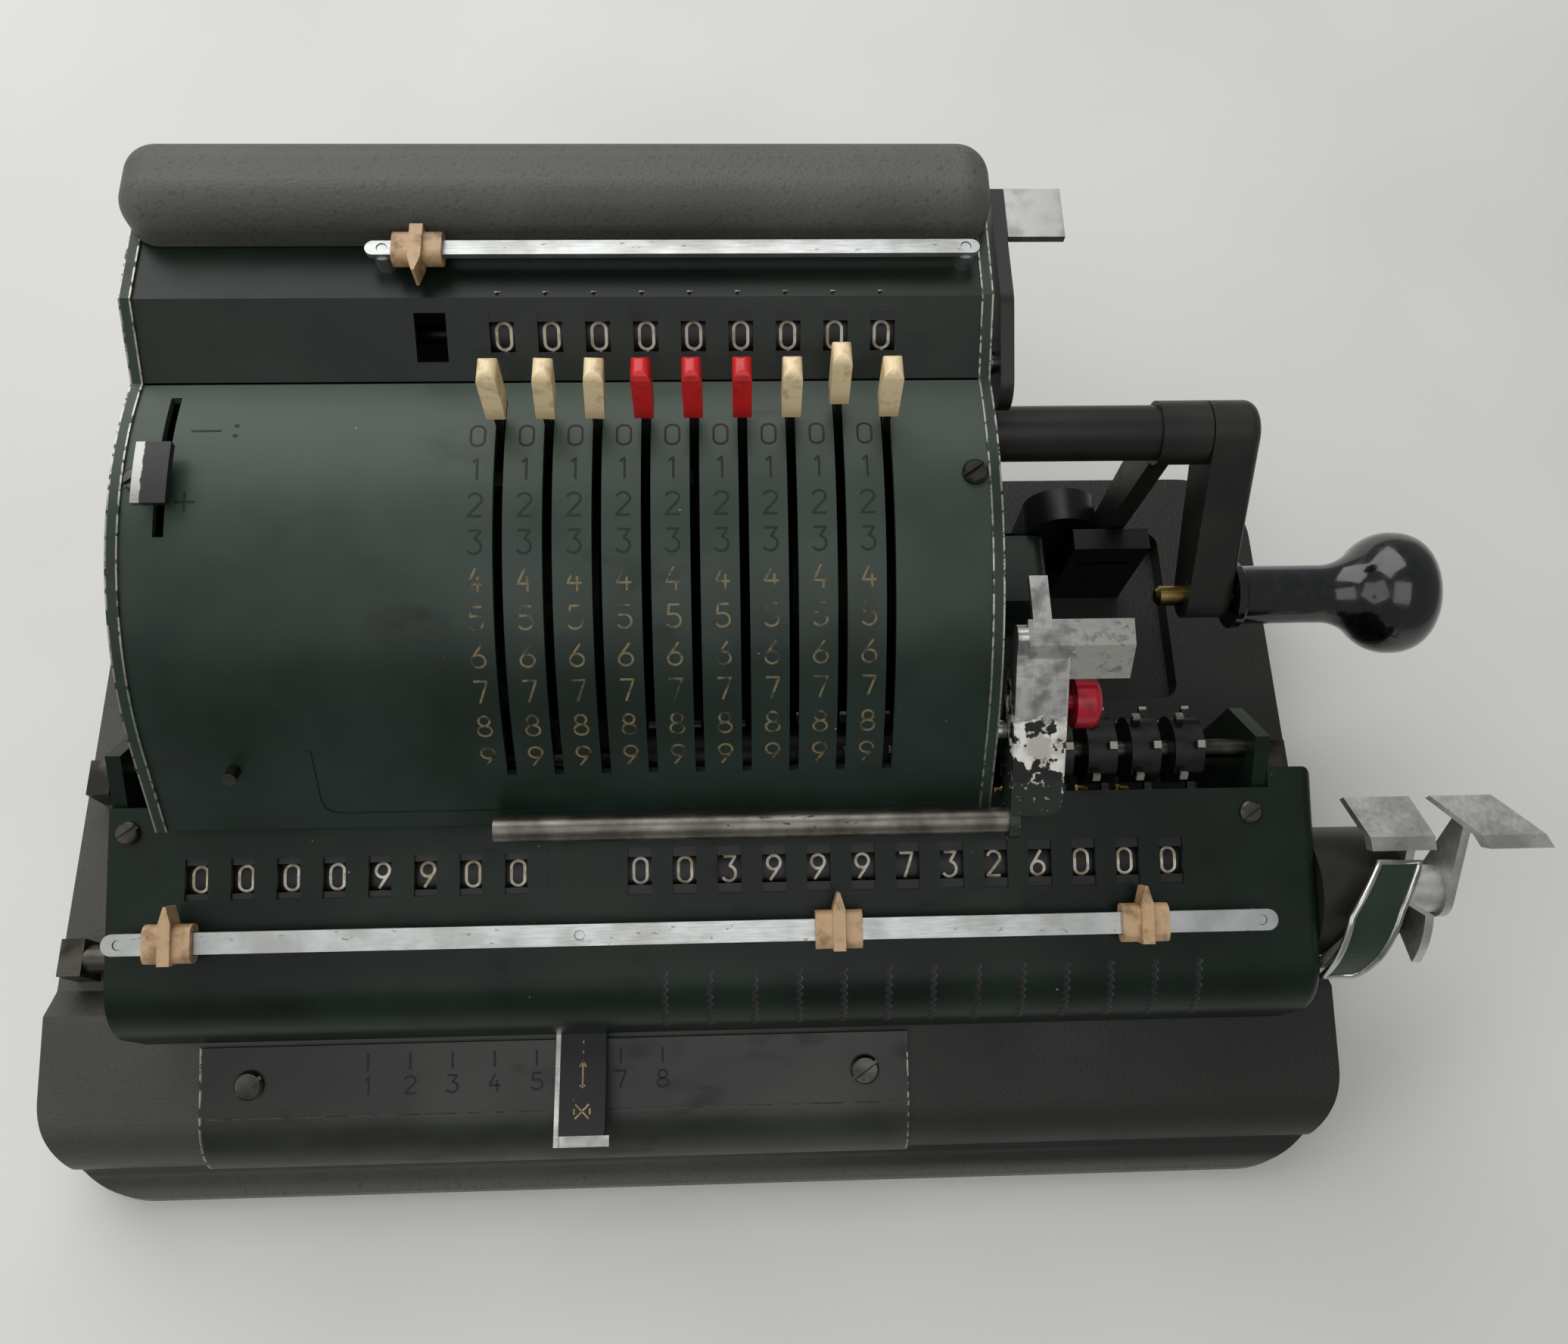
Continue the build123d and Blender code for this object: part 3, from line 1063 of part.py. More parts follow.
# ---------------------------------------------------------------- all sub-parts
def main():
    os.makedirs("parts", exist_ok=True)
    save("base_casting", base_casting())
    save("rubber_feet", *rubber_feet())
    save("number_plate", number_plate())
    save("left_side_plate", side_plate(BODY_LEFT, BODY_LEFT + PLATE))
    save("right_side_plate", right_side_plate())
    save("drum_cover", drum_cover())
    save("window_panel", window_panel())
    save("top_cover", top_cover())
    save("upper_decimal_bar", *upper_bar())
    save("upper_decimal_marker", upper_marker())
    save("pinwheel_shaft", pinwheel_shaft())
    save("pinwheels", *pinwheels())
    save("idler_gear", idler_gear())
    save("intermediate_gears", *intermediate_gears())
    save("body_shafts", *body_shafts())
    save("pivot_pins", *pivot_pins())
    save("check_wheels", *check_wheels())
    for index in range(1, LEVER_COUNT + 1):
        save(f"setting_lever_{index}", *setting_lever(index))
    save("sign_lever", sign_lever())
    save("carriage_cover", carriage_cover())
    save("carriage_left_end", end_wall(CARRIAGE_LEFT))
    save("carriage_right_end", carriage_right_end())
    save("carriage_shafts", *carriage_shafts())
    save("carry_drums", *carry_drums())
    save("transfer_gears", *transfer_gears())
    save("counter_wheels", *number_wheels(COUNTER_FIRST_X, COUNTER_COUNT))
    save("result_wheels", *number_wheels(RESULT_FIRST_X, RESULT_COUNT))
    save("lower_decimal_bar", *lower_bar())
    for index, x in enumerate(LOWER_MARKER_XS, 1):
        save(f"lower_decimal_marker_{index}", lower_marker(x))
    save("shift_key", shift_key())
    save("shift_key_bar", shift_key_bar())
    save("clearing_drum", clearing_drum())
    save("result_clear_lever", result_clear_lever())
    save("counter_clear_lever", counter_clear_lever())
    save("crank_bearing", crank_bearing())
    save("outboard_bracket", outboard_bracket())
    save("crank_shaft", crank_shaft())
    save("crank_arm", crank_arm())
    save("crank_spindle", *crank_spindle())
    save("crank_grip", crank_grip())
    save("stop_block", stop_block())
    save("gear_bracket", gear_bracket())
    save("drive_housing", drive_housing())
    save("setting_clear_lever", setting_clear_lever())
    save("back_transfer_lever", back_transfer_lever())
    save("back_transfer_rod", back_transfer_rod())
    save("red_knob", red_knob())
    save("carriage_rails", *carriage_rails())
    save("body_screws", *body_screws())
    save("carriage_screws", *carriage_screws())


main()
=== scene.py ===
"""Looks of a pinwheel calculator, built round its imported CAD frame.

Every length is in metres in the CAD frame: +X to the operator's right, +Y away from the operator, +Z up.
"""

import logging
import math
from dataclasses import dataclass, field
from enum import Enum
from typing import Callable, Dict, Iterable, List, Optional, Sequence, Tuple

import bpy
from mathutils import Matrix, Vector


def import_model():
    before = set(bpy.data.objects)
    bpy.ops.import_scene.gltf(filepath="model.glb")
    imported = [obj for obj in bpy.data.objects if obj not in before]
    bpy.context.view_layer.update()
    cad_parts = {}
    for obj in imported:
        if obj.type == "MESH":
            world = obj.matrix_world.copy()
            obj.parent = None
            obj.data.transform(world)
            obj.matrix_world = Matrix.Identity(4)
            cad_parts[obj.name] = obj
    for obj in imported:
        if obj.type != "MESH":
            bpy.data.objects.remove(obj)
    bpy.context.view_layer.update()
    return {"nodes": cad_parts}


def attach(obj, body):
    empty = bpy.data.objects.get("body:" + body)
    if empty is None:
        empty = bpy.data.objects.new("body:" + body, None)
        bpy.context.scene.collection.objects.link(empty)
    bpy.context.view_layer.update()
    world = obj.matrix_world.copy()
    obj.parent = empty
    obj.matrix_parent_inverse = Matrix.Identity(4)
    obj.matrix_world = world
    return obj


LOG = logging.getLogger("calculator")

Point = Tuple[float, float, float]
Flat = Tuple[float, float]
Socket = bpy.types.NodeSocket

MM = 0.001
PITCH = 9.0 * MM
DRUM_AXIS = (44.0 * MM, 48.0 * MM)
COVER_RADIUS = 63.5 * MM
ZERO_ROW_ANGLE = 87.0
ROW_STEP = 6.3
LEVER_COUNT = 9
LEVER_FIRST_X = -34.0 * MM
CHECK_AXIS = (73.263 * MM, 106.105 * MM)
CHECK_RADIUS = 8.6 * MM
PANEL_SLOPE = 38.1
REGISTER_AXIS = (-22.702 * MM, 54.512 * MM)
REGISTER_RADIUS = 9.0 * MM
CARRIAGE_SLOPE = 14.6
DECK_SLOPE = 15.4
PLATE_FACES = (-104.0 * MM, -101.7 * MM, 56.7 * MM, 59.0 * MM)
PLATE_MIDDLE_X = -30.6 * MM
APRON_DEGREES = 141.0
APRON_ANGLE = math.radians(APRON_DEGREES)
APRON_OUT = (math.cos(APRON_ANGLE), math.sin(APRON_ANGLE))
APRON_LEVEL = 64.0 * MM + DRUM_AXIS[0] * APRON_OUT[0] + DRUM_AXIS[1] * APRON_OUT[1]
CLEARING_AXIS = (-30.0 * MM, 52.0 * MM)
SIGN_X = -94.8 * MM
RESULT_FIRST_X = -10.8 * MM
COUNTER_FIRST_X = -98.4 * MM


def lever_x(index: int) -> float:
    """Place of a setting lever.

    Args:
        index: Lever number, from 1 at the left.

    Returns:
        Its X in metres.
    """
    return LEVER_FIRST_X + (index - 1) * PITCH


def linear(hex_colour: str) -> Tuple[float, float, float, float]:
    """Turn an sRGB hex colour into the linear RGBA that shaders take.

    Args:
        hex_colour: Colour as "#rrggbb".

    Returns:
        Linear red, green, blue and an alpha of 1.
    """
    channels = [int(hex_colour[i:i + 2], 16) / 255 for i in (1, 3, 5)]
    red, green, blue = (c / 12.92 if c <= 0.04045 else ((c + 0.055) / 1.055) ** 2.4 for c in channels)
    return (red, green, blue, 1.0)


# ---------------------------------------------------------------- materials
SMOOTH = {"interpolation_type": "SMOOTHSTEP"}
COLOURS = {"data_type": "RGBA"}


def octaves(detail: float) -> Dict[object, object]:
    """Say how fine a noise gets.

    Args:
        detail: Octaves of finer detail.

    Returns:
        The noise's inputs.
    """
    return {"Detail": detail, "Roughness": 0.55}


class Graph:
    """Shader graph of one material, with the measures and patterns that its finishes share.

    Inputs 0, 1 and 2 of a map range are its value and the range that becomes 0 to 1. Input 0 of a mix is its
    factor, 2 and 3 are its numbers, 6 and 7 its colours, and its colour comes out of output 2.
    """

    def __init__(self, name: str) -> None:
        self.material = bpy.data.materials.new(name)
        self.material.use_nodes = True
        self.tree = self.material.node_tree
        self.tree.nodes.clear()
        self.shader = self.add("BsdfPrincipled", {}).node
        self.place = self.add("TexCoord", {}, "Object")
        self.x, self.y, self.z = self.add("SeparateXYZ", {0: self.place}).node.outputs

    def feed(self, socket: Socket, value: object) -> None:
        """Link a socket, or set its constant.

        Args:
            socket: Input socket.
            value: An output socket, a number or a colour.
        """
        if isinstance(value, bpy.types.NodeSocket):
            self.tree.links.new(value, socket)
        else:
            socket.default_value = value

    def add(self, kind: str, inputs: Dict[object, object], output: object = 0,
            **settings: object) -> Optional[Socket]:
        """Add a node with its settings and links.

        Args:
            kind: Blender's class name after "ShaderNode".
            inputs: Socket or constant for each input, by name or number.
            output: Name or number of the output wanted.
            **settings: The node's own properties.

        Returns:
            The output, or nothing from a node without one.
        """
        node = self.tree.nodes.new("ShaderNode" + kind)
        for name, value in settings.items():
            setattr(node, name, value)
        for key, value in inputs.items():
            self.feed(node.inputs[key], value)
        return node.outputs[output] if node.outputs else None

    def pattern(self, kind: str, size: float, inputs: Optional[Dict[object, object]] = None,
                stretch: Point = (1.0, 1.0, 1.0), output: object = 0, **settings: object) -> Socket:
        """Lay a texture on the object's own coordinates at a real size.

        Args:
            kind: Blender's class name of the texture after "ShaderNode".
            size: Size of a patch in metres.
            inputs: The texture's other inputs.
            stretch: How much longer patches are along each axis.
            output: Name or number of the output wanted.
            **settings: The texture's own properties.

        Returns:
            The output.
        """
        scale = tuple(1.0 / (size * s) for s in stretch)
        scaled = self.add("Mapping", {"Vector": self.place, "Scale": scale})
        return self.add(kind, {"Vector": scaled, "Scale": 1.0, **(inputs or {})}, output, **settings)

    def reach(self, centre: Flat) -> Socket:
        """Measure the distance from a line parallel to X.

        Args:
            centre: Y and Z of the line.

        Returns:
            The distance in metres.
        """
        y = self.add("Math", {0: self.y, 1: centre[0]}, operation="SUBTRACT")
        z = self.add("Math", {0: self.z, 1: centre[1]}, operation="SUBTRACT")
        squares = [self.add("Math", {0: side, 1: side}, operation="MULTIPLY") for side in (y, z)]
        total = self.add("Math", dict(enumerate(squares)), operation="ADD")
        return self.add("Math", {0: total}, operation="SQRT")

    def along(self, direction: Flat, level: float) -> Socket:
        """Measure how far a point lies past a level along a direction in the YZ plane.

        Args:
            direction: Unit direction, Y and Z.
            level: Distance of the level from the origin.

        Returns:
            Signed distance in metres.
        """
        over = self.add("Math", {0: self.y, 1: direction[0]}, operation="MULTIPLY")
        up = self.add("Math", {0: self.z, 1: direction[1]}, operation="MULTIPLY")
        total = self.add("Math", {0: over, 1: up}, operation="ADD")
        return self.add("Math", {0: total, 1: level}, operation="SUBTRACT")

    def nearest_x(self, places: Sequence[float]) -> Socket:
        """Measure the distance to the nearest of some planes square to X.

        Args:
            places: X of the planes.

        Returns:
            Distance in metres.
        """
        least = None
        for place in places:
            offset = self.add("Math", {0: self.x, 1: place}, operation="SUBTRACT")
            gap = self.add("Math", {0: offset}, operation="ABSOLUTE")
            least = gap if least is None else self.add("Math", {0: least, 1: gap}, operation="MINIMUM")
        return least

    def finish(self, relief: Optional[Tuple[Socket, float]] = None, **values: object) -> bpy.types.Material:
        """Feed the shader and give the material its surface.

        Args:
            relief: Height factor of small relief, and its depth in metres.
            **values: The shader's inputs, with underscores for blanks.

        Returns:
            The finished material.
        """
        if relief:
            values["normal"] = self.add("Bump", {"Height": relief[0], "Distance": relief[1]})
        for name, value in values.items():
            self.feed(self.shader.inputs[name.replace("_", " ").title().replace("Ior", "IOR")], value)
        self.add("OutputMaterial", {"Surface": self.shader.outputs[0]})
        return self.material


class Wear(Enum):
    """Where an enamelled piece has lost its paint."""

    NONE = "none"
    DRUM_RIM = "drum_rim"
    PLATE_END = "plate_end"
    BRACKET = "bracket"


@dataclass(frozen=True)
class Enamel:
    """Stoved enamel, sprayed smooth: dark, satin, cloudy where hands have polished it; on the drum a painted sheen
    pales the upper, rear part.
    """

    name: str
    dark: str = "#1c2820"
    light: str = "#2c3a30"
    grime: str = "#191712"
    roughness: float = 0.34
    wear: Wear = Wear.NONE
    bare_dark: str = "#7d7a70"
    bare_light: str = "#c9c6bb"
    shine: float = 0.9
    gloss: float = 0.38
    # Colour of a painted sheen that pales the drum's upper, rear part.
    handled: Optional[str] = None

    def material(self) -> bpy.types.Material:
        """Build the finish.

        Returns:
            The material.
        """
        graph = Graph(self.name)
        patches = graph.pattern("TexNoise", 34 * MM, octaves(3))
        clouds = graph.add("MapRange", {0: patches, 1: 0.36, 2: 0.66}, **SMOOTH)
        streaks = graph.pattern("TexNoise", 9 * MM, octaves(4), (1.8, 1.0, 1.0))
        smudges = graph.add("MapRange", {0: streaks, 1: 0.56, 2: 0.76}, **SMOOTH)
        grimy = graph.add("Math", {0: smudges, 1: 0.45}, operation="MULTIPLY")
        paint = graph.add("Mix", {0: clouds, 6: linear(self.dark), 7: linear(self.light)}, 2, **COLOURS)
        paint = graph.add("Mix", {0: grimy, 6: paint, 7: linear(self.grime)}, 2, **COLOURS)
        # Painted sheen: the upper, rear part of the drum is paled towards the lighter colour.
        if self.handled:
            paint = graph.add("Mix", {0: self.dulled(graph), 6: paint, 7: linear(self.handled)}, 2, **COLOURS)
        bare = self.bare(graph)
        roughness = graph.add("Mix", {0: smudges, 2: self.roughness, 3: self.roughness + 0.16})
        roughness = graph.add("Mix", {0: bare, 2: roughness, 3: 0.33})
        chips = graph.pattern("TexNoise", 1.2 * MM, octaves(3))
        metal = graph.add("Mix", {0: chips, 6: linear(self.bare_dark), 7: linear(self.bare_light)}, 2, **COLOURS)
        return graph.finish(
            (graph.pattern("TexNoise", 1.1 * MM, octaves(2)), 0.012 * MM),
            base_color=graph.add("Mix", {0: bare, 6: paint, 7: metal}, 2, **COLOURS), roughness=roughness,
            metallic=graph.add("Math", {0: bare, 1: self.shine}, operation="MULTIPLY"),
            specular_ior_level=self.gloss)

    def dulled(self, graph: Graph) -> Socket:
        """Mark the upper, rear part of the drum, paled by a painted sheen where the light falls on it.

        Args:
            graph: The material's graph.

        Returns:
            Share of the paler colour.
        """
        patches = graph.pattern("TexNoise", 16 * MM, octaves(4))
        ragged = graph.add("Math", {0: patches, 1: 30 * MM}, operation="MULTIPLY")
        place = graph.add("Math", {0: graph.y, 1: ragged}, operation="ADD")
        share = graph.add("MapRange", {0: place, 1: 12 * MM, 2: 70 * MM}, **SMOOTH)
        return graph.add("Math", {0: share, 1: 0.75}, operation="MULTIPLY")

    def bare(self, graph: Graph) -> Socket:
        """Mark where the paint is worn through.

        Args:
            graph: The material's graph.

        Returns:
            1 on bare metal, 0 on paint.
        """
        if self.wear is Wear.NONE:
            specks = graph.pattern("TexNoise", 2.4 * MM, octaves(6))
            pinholes = graph.add("MapRange", {0: specks, 1: 0.74, 2: 0.77}, **SMOOTH)
            return graph.add("Math", {0: pinholes, 1: 0.6}, operation="MULTIPLY")
        chips = graph.pattern("TexNoise", 1.6 * MM, octaves(5))
        if self.wear is Wear.DRUM_RIM:
            corner = graph.add("MapRange", {0: graph.nearest_x(PLATE_FACES), 1: 0.42 * MM, 2: 0.22 * MM}, **SMOOTH)
            round_rim = graph.add("MapRange", {0: graph.reach(DRUM_AXIS), 1: 63.5 * MM, 2: 63.8 * MM}, **SMOOTH)
            past = graph.along(APRON_OUT, APRON_LEVEL)
            straight_rim = graph.add("MapRange", {0: past, 1: -0.4 * MM, 2: -0.2 * MM}, **SMOOTH)
            rim = graph.add("Math", {0: round_rim, 1: straight_rim}, operation="MAXIMUM")
            zone = graph.add("Math", {0: rim, 1: corner}, operation="MULTIPLY")
            flaked = graph.add("MapRange", {0: chips, 1: 0.40, 2: 0.50}, **SMOOTH)
        elif self.wear is Wear.PLATE_END:
            offset = graph.add("Math", {0: graph.x, 1: -PLATE_MIDDLE_X}, operation="ADD")
            apart = graph.add("Math", {0: offset}, operation="ABSOLUTE")
            zone = graph.add("MapRange", {0: apart, 1: 75.2 * MM, 2: 75.9 * MM}, **SMOOTH)
            flaked = graph.add("MapRange", {0: chips, 1: 0.46, 2: 0.52}, **SMOOTH)
        else:
            zone = graph.add("MapRange", {0: graph.x, 1: 82.2 * MM, 2: 83.2 * MM}, **SMOOTH)
            flaked = graph.add("MapRange", {0: chips, 1: 0.38, 2: 0.46}, **SMOOTH)
        return graph.add("Math", {0: zone, 1: flaked}, operation="MULTIPLY")


@dataclass(frozen=True)
class GrainedPaint:
    """Grained protective paint, sprayed thick: a fine leathery skin with a dull sheen."""

    name: str
    dark: str
    light: str
    grain: float = 0.62 * MM
    depth: float = 0.10 * MM
    roughness: float = 0.46
    oiled: Optional[str] = None
    dusty: Optional[str] = None

    def material(self) -> bpy.types.Material:
        """Build the finish.

        Returns:
            The material.
        """
        graph = Graph(self.name)
        cells = graph.pattern("TexVoronoi", self.grain, output="Distance", feature="SMOOTH_F1")
        patches = graph.pattern("TexNoise", 40 * MM, octaves(3))
        clouds = graph.add("MapRange", {0: patches, 1: 0.35, 2: 0.68}, **SMOOTH)
        colour = graph.add("Mix", {0: clouds, 6: linear(self.dark), 7: linear(self.light)}, 2, **COLOURS)
        if self.oiled:
            stains = graph.pattern("TexNoise", 25 * MM, octaves(3))
            ragged = graph.add("Math", {0: stains, 1: 60 * MM}, operation="MULTIPLY")
            place = graph.add("Math", {0: graph.x, 1: ragged}, operation="ADD")
            right = graph.add("MapRange", {0: place, 1: 10 * MM, 2: 95 * MM}, **SMOOTH)
            colour = graph.add("Mix", {0: right, 6: colour, 7: linear(self.oiled)}, 2, **COLOURS)
        # Paler colour along the front skirt, in front of y = -82 mm.
        if self.dusty:
            skirt = graph.add("MapRange", {0: graph.y, 1: -82 * MM, 2: -85 * MM}, **SMOOTH)
            colour = graph.add("Mix", {0: skirt, 6: colour, 7: linear(self.dusty)}, 2, **COLOURS)
        deep = graph.add("MapRange", {0: cells, 1: 0.45, 2: 0.85}, **SMOOTH)
        hollows = graph.add("Math", {0: deep, 1: 0.4}, operation="MULTIPLY")
        colour = graph.add("Mix", {0: hollows, 6: colour, 7: linear("#1a1916")}, 2, **COLOURS)
        fine = graph.pattern("TexNoise", self.grain * 0.7, octaves(4))
        dips = graph.add("Math", {0: cells, 1: 0.5}, operation="MULTIPLY")
        return graph.finish(
            (graph.add("Math", {0: fine, 1: dips}, operation="SUBTRACT"), self.depth), base_color=colour,
            roughness=graph.add("Mix", {0: clouds, 2: self.roughness, 3: self.roughness + 0.12}))


@dataclass(frozen=True)
class PlatedSteel:
    """Nickel or chrome plate on drawn steel: bright, with hair scratches and small dark pits."""

    name: str
    bright: str = "#c9c9c6"
    dull: str = "#8d8c88"
    roughness: float = 0.2
    pitting: float = 0.5
    drawn: Point = (12.0, 1.0, 1.0)

    def material(self) -> bpy.types.Material:
        """Build the finish.

        Returns:
            The material.
        """
        graph = Graph(self.name)
        scratches = graph.pattern("TexNoise", 0.35 * MM, octaves(2), self.drawn)
        patches = graph.pattern("TexNoise", 11 * MM, octaves(3))
        clouds = graph.add("MapRange", {0: patches, 1: 0.38, 2: 0.66}, **SMOOTH)
        specks = graph.pattern("TexNoise", 1.3 * MM, octaves(4), (2.0, 1.0, 1.0))
        eaten = graph.add("MapRange", {0: specks, 1: 0.66, 2: 0.70}, **SMOOTH)
        pits = graph.add("Math", {0: eaten, 1: self.pitting}, operation="MULTIPLY")
        colour = graph.add("Mix", {0: clouds, 6: linear(self.bright), 7: linear(self.dull)}, 2, **COLOURS)
        colour = graph.add("Mix", {0: pits, 6: colour, 7: linear("#2c2721")}, 2, **COLOURS)
        rough = graph.add("Mix", {0: scratches, 2: self.roughness * 0.7, 3: self.roughness * 1.5})
        lost = graph.add("Math", {0: pits, 1: 0.6}, operation="MULTIPLY")
        return graph.finish((scratches, 0.006 * MM), base_color=colour,
                            roughness=graph.add("Mix", {0: pits, 2: rough, 3: 0.6}),
                            metallic=graph.add("Math", {0: 1.0, 1: lost}, operation="SUBTRACT"))


@dataclass(frozen=True)
class Plastic:
    """Moulded resin: even colour with a soft skin, yellowed and rubbed where it is touched."""

    name: str
    colour: str
    rubbed: str
    roughness: float = 0.32
    coat: float = 0.0

    def material(self) -> bpy.types.Material:
        """Build the finish.

        Returns:
            The material.
        """
        graph = Graph(self.name)
        patches = graph.pattern("TexNoise", 3.2 * MM, octaves(3))
        touched = graph.add("MapRange", {0: patches, 1: 0.42, 2: 0.72}, **SMOOTH)
        return graph.finish(
            (graph.pattern("TexNoise", 1.4 * MM, octaves(3)), 0.03 * MM),
            base_color=graph.add("Mix", {0: touched, 6: linear(self.colour), 7: linear(self.rubbed)}, 2, **COLOURS),
            roughness=graph.add("Mix", {0: touched, 2: self.roughness, 3: self.roughness + 0.15}),
            coat_weight=self.coat)


@dataclass(frozen=True)
class CappedLever:
    """Blued steel lever with a moulded cap beyond a given reach from the drum's axis."""

    name: str
    cap: str
    rubbed: str
    foot: float = 67.95 * MM

    def material(self) -> bpy.types.Material:
        """Build the finish.

        Returns:
            The material.
        """
        graph = Graph(self.name)
        reach = graph.reach(DRUM_AXIS)
        on_cap = graph.add("MapRange", {0: reach, 1: self.foot - 0.02 * MM, 2: self.foot}, **SMOOTH)
        patches = graph.pattern("TexNoise", 2.2 * MM, octaves(4))
        grime = graph.add("MapRange", {0: patches, 1: 0.50, 2: 0.72}, **SMOOTH)
        # The cap darkens over its lowest 4 mm, towards its foot, on top of random grime patches.
        low = graph.add("MapRange", {0: reach, 1: self.foot + 4 * MM, 2: self.foot}, **SMOOTH)
        halves = [graph.add("Math", {0: part, 1: 0.5}, operation="MULTIPLY") for part in (grime, low)]
        grime_and_foot_darkening = graph.add("Math", dict(enumerate(halves)), operation="MAXIMUM")
        cap = graph.add("Mix", {0: grime_and_foot_darkening, 6: linear(self.cap), 7: linear(self.rubbed)}, 2, **COLOURS)
        steel = graph.add("Mix", {0: grime, 6: linear("#0c0c0a"), 7: linear("#191814")}, 2, **COLOURS)
        return graph.finish((graph.pattern("TexNoise", 1.6 * MM, octaves(3)), 0.03 * MM),
                            base_color=graph.add("Mix", {0: on_cap, 6: steel, 7: cap}, 2, **COLOURS),
                            roughness=graph.add("Mix", {0: on_cap, 2: 0.45, 3: 0.34}),
                            metallic=graph.add("Mix", {0: on_cap, 2: 0.15, 3: 0.0}))


@dataclass(frozen=True)
class CarryDrum:
    """Oiled black carry drums whose pins are rubbed bright at their tips."""

    name: str = "carry_steel"
    axis: Flat = (-2.2 * MM, 66.0 * MM)
    rubbed_from: float = 8.2 * MM

    def material(self) -> bpy.types.Material:
        """Build the finish.

        Returns:
            The material.
        """
        graph = Graph(self.name)
        patches = graph.pattern("TexNoise", 3.0 * MM, octaves(4))
        oil = graph.add("MapRange", {0: patches, 1: 0.4, 2: 0.7}, **SMOOTH)
        limits = {1: self.rubbed_from, 2: self.rubbed_from + 0.5 * MM}
        tip = graph.add("MapRange", {0: graph.reach(self.axis), **limits}, **SMOOTH)
        black = graph.add("Mix", {0: oil, 6: linear("#070706"), 7: linear("#131310")}, 2, **COLOURS)
        return graph.finish((graph.pattern("TexNoise", 0.7 * MM, octaves(3)), 0.01 * MM),
                            base_color=graph.add("Mix", {0: tip, 6: black, 7: linear("#aaa79e")}, 2, **COLOURS),
                            metallic=graph.add("Mix", {0: tip, 2: 0.2, 3: 0.9}),
                            roughness=graph.add("Mix", {0: oil, 2: 0.34, 3: 0.5}))


@dataclass(frozen=True)
class SignTab:
    """Sign lever's folded tab: nickel along its outer fold, black paint on its face."""

    name: str = "sign_tab"

    def material(self) -> bpy.types.Material:
        """Build the finish.

        Returns:
            The material.
        """
        graph = Graph(self.name)
        ragged = graph.add("Math", {0: graph.pattern("TexNoise", 1.5 * MM, octaves(3)), 1: 0.8 * MM},
                           operation="MULTIPLY")
        place = graph.add("Math", {0: graph.x, 1: ragged}, operation="ADD")
        fold = graph.add("MapRange", {0: place, 1: SIGN_X - 1.0 * MM, 2: SIGN_X - 1.3 * MM}, **SMOOTH)
        patches = graph.pattern("TexNoise", 2.0 * MM, octaves(3))
        paint = graph.add("Mix", {0: patches, 6: linear("#0d0e0c"), 7: linear("#191a17")}, 2, **COLOURS)
        return graph.finish((graph.pattern("TexNoise", 0.8 * MM, octaves(3)), 0.01 * MM),
                            base_color=graph.add("Mix", {0: fold, 6: paint, 7: linear("#9c9c97")}, 2, **COLOURS),
                            metallic=fold, roughness=graph.add("Mix", {0: fold, 2: 0.42, 3: 0.25}))


@dataclass(frozen=True)
class TransferLever:
    """Back-transfer lever: enamelled foot, strip flaked down to its primer, nickelled finger plate."""

    name: str = "transfer_lever"
    foot_top: float = 85.6 * MM
    strip_top: float = 92.6 * MM
    edge_x: float = 71.0 * MM

    def material(self) -> bpy.types.Material:
        """Build the finish.

        Returns:
            The material.
        """
        graph = Graph(self.name)
        chips = graph.pattern("TexNoise", 1.6 * MM, octaves(5))
        swing = graph.add("Math", {0: chips, 1: 0.5}, operation="SUBTRACT")
        ragged = graph.add("Math", {0: swing, 1: 3 * MM}, operation="MULTIPLY")
        height = graph.add("Math", {0: graph.z, 1: ragged}, operation="ADD")
        above = graph.add("MapRange", {0: height, 1: self.foot_top, 2: self.foot_top + 0.3 * MM}, **SMOOTH)
        plate = graph.add("MapRange", {0: height, 1: self.strip_top, 2: self.strip_top + 0.4 * MM}, **SMOOTH)
        flakes = graph.pattern("TexNoise", 3.4 * MM, octaves(5))
        flaked = graph.add("MapRange", {0: flakes, 1: 0.50, 2: 0.53}, **SMOOTH)
        stains = graph.add("MapRange", {0: graph.pattern("TexNoise", 5 * MM, octaves(3)), 1: 0.4, 2: 0.6}, **SMOOTH)
        primer = graph.add("Mix", {0: stains, 6: linear("#efece4"), 7: linear("#bcb8ae")}, 2, **COLOURS)
        strip = graph.add("Mix", {0: flaked, 6: primer, 7: linear("#12130f")}, 2, **COLOURS)
        clouds = graph.add("MapRange", {0: graph.pattern("TexNoise", 4 * MM, octaves(4)), 1: 0.4, 2: 0.7}, **SMOOTH)
        nickel = graph.add("Mix", {0: clouds, 6: linear("#c9c9c5"), 7: linear("#8f8f8a")}, 2, **COLOURS)
        nicks = graph.add("MapRange", {0: chips, 1: 0.62, 2: 0.66}, **SMOOTH)
        green = graph.add("Mix", {0: nicks, 6: linear("#1a261d"), 7: linear("#8d8a80")}, 2, **COLOURS)
        outer = graph.add("MapRange", {0: graph.x, 1: self.edge_x, 2: self.edge_x + 0.3 * MM}, **SMOOTH)
        rubbed = graph.add("MapRange", {0: chips, 1: 0.42, 2: 0.5}, **SMOOTH)
        edge = graph.add("Math", {0: outer, 1: rubbed}, operation="MULTIPLY")
        colour = graph.add("Mix", {0: above, 6: green, 7: strip}, 2, **COLOURS)
        colour = graph.add("Mix", {0: plate, 6: colour, 7: nickel}, 2, **COLOURS)
        return graph.finish((chips, 0.03 * MM),
                            base_color=graph.add("Mix", {0: edge, 6: colour, 7: linear("#cfccc3")}, 2, **COLOURS),
                            metallic=graph.add("Math", {0: plate, 1: 0.9}, operation="MULTIPLY"),
                            roughness=graph.add("Mix", {0: plate, 2: 0.42, 3: 0.26}))


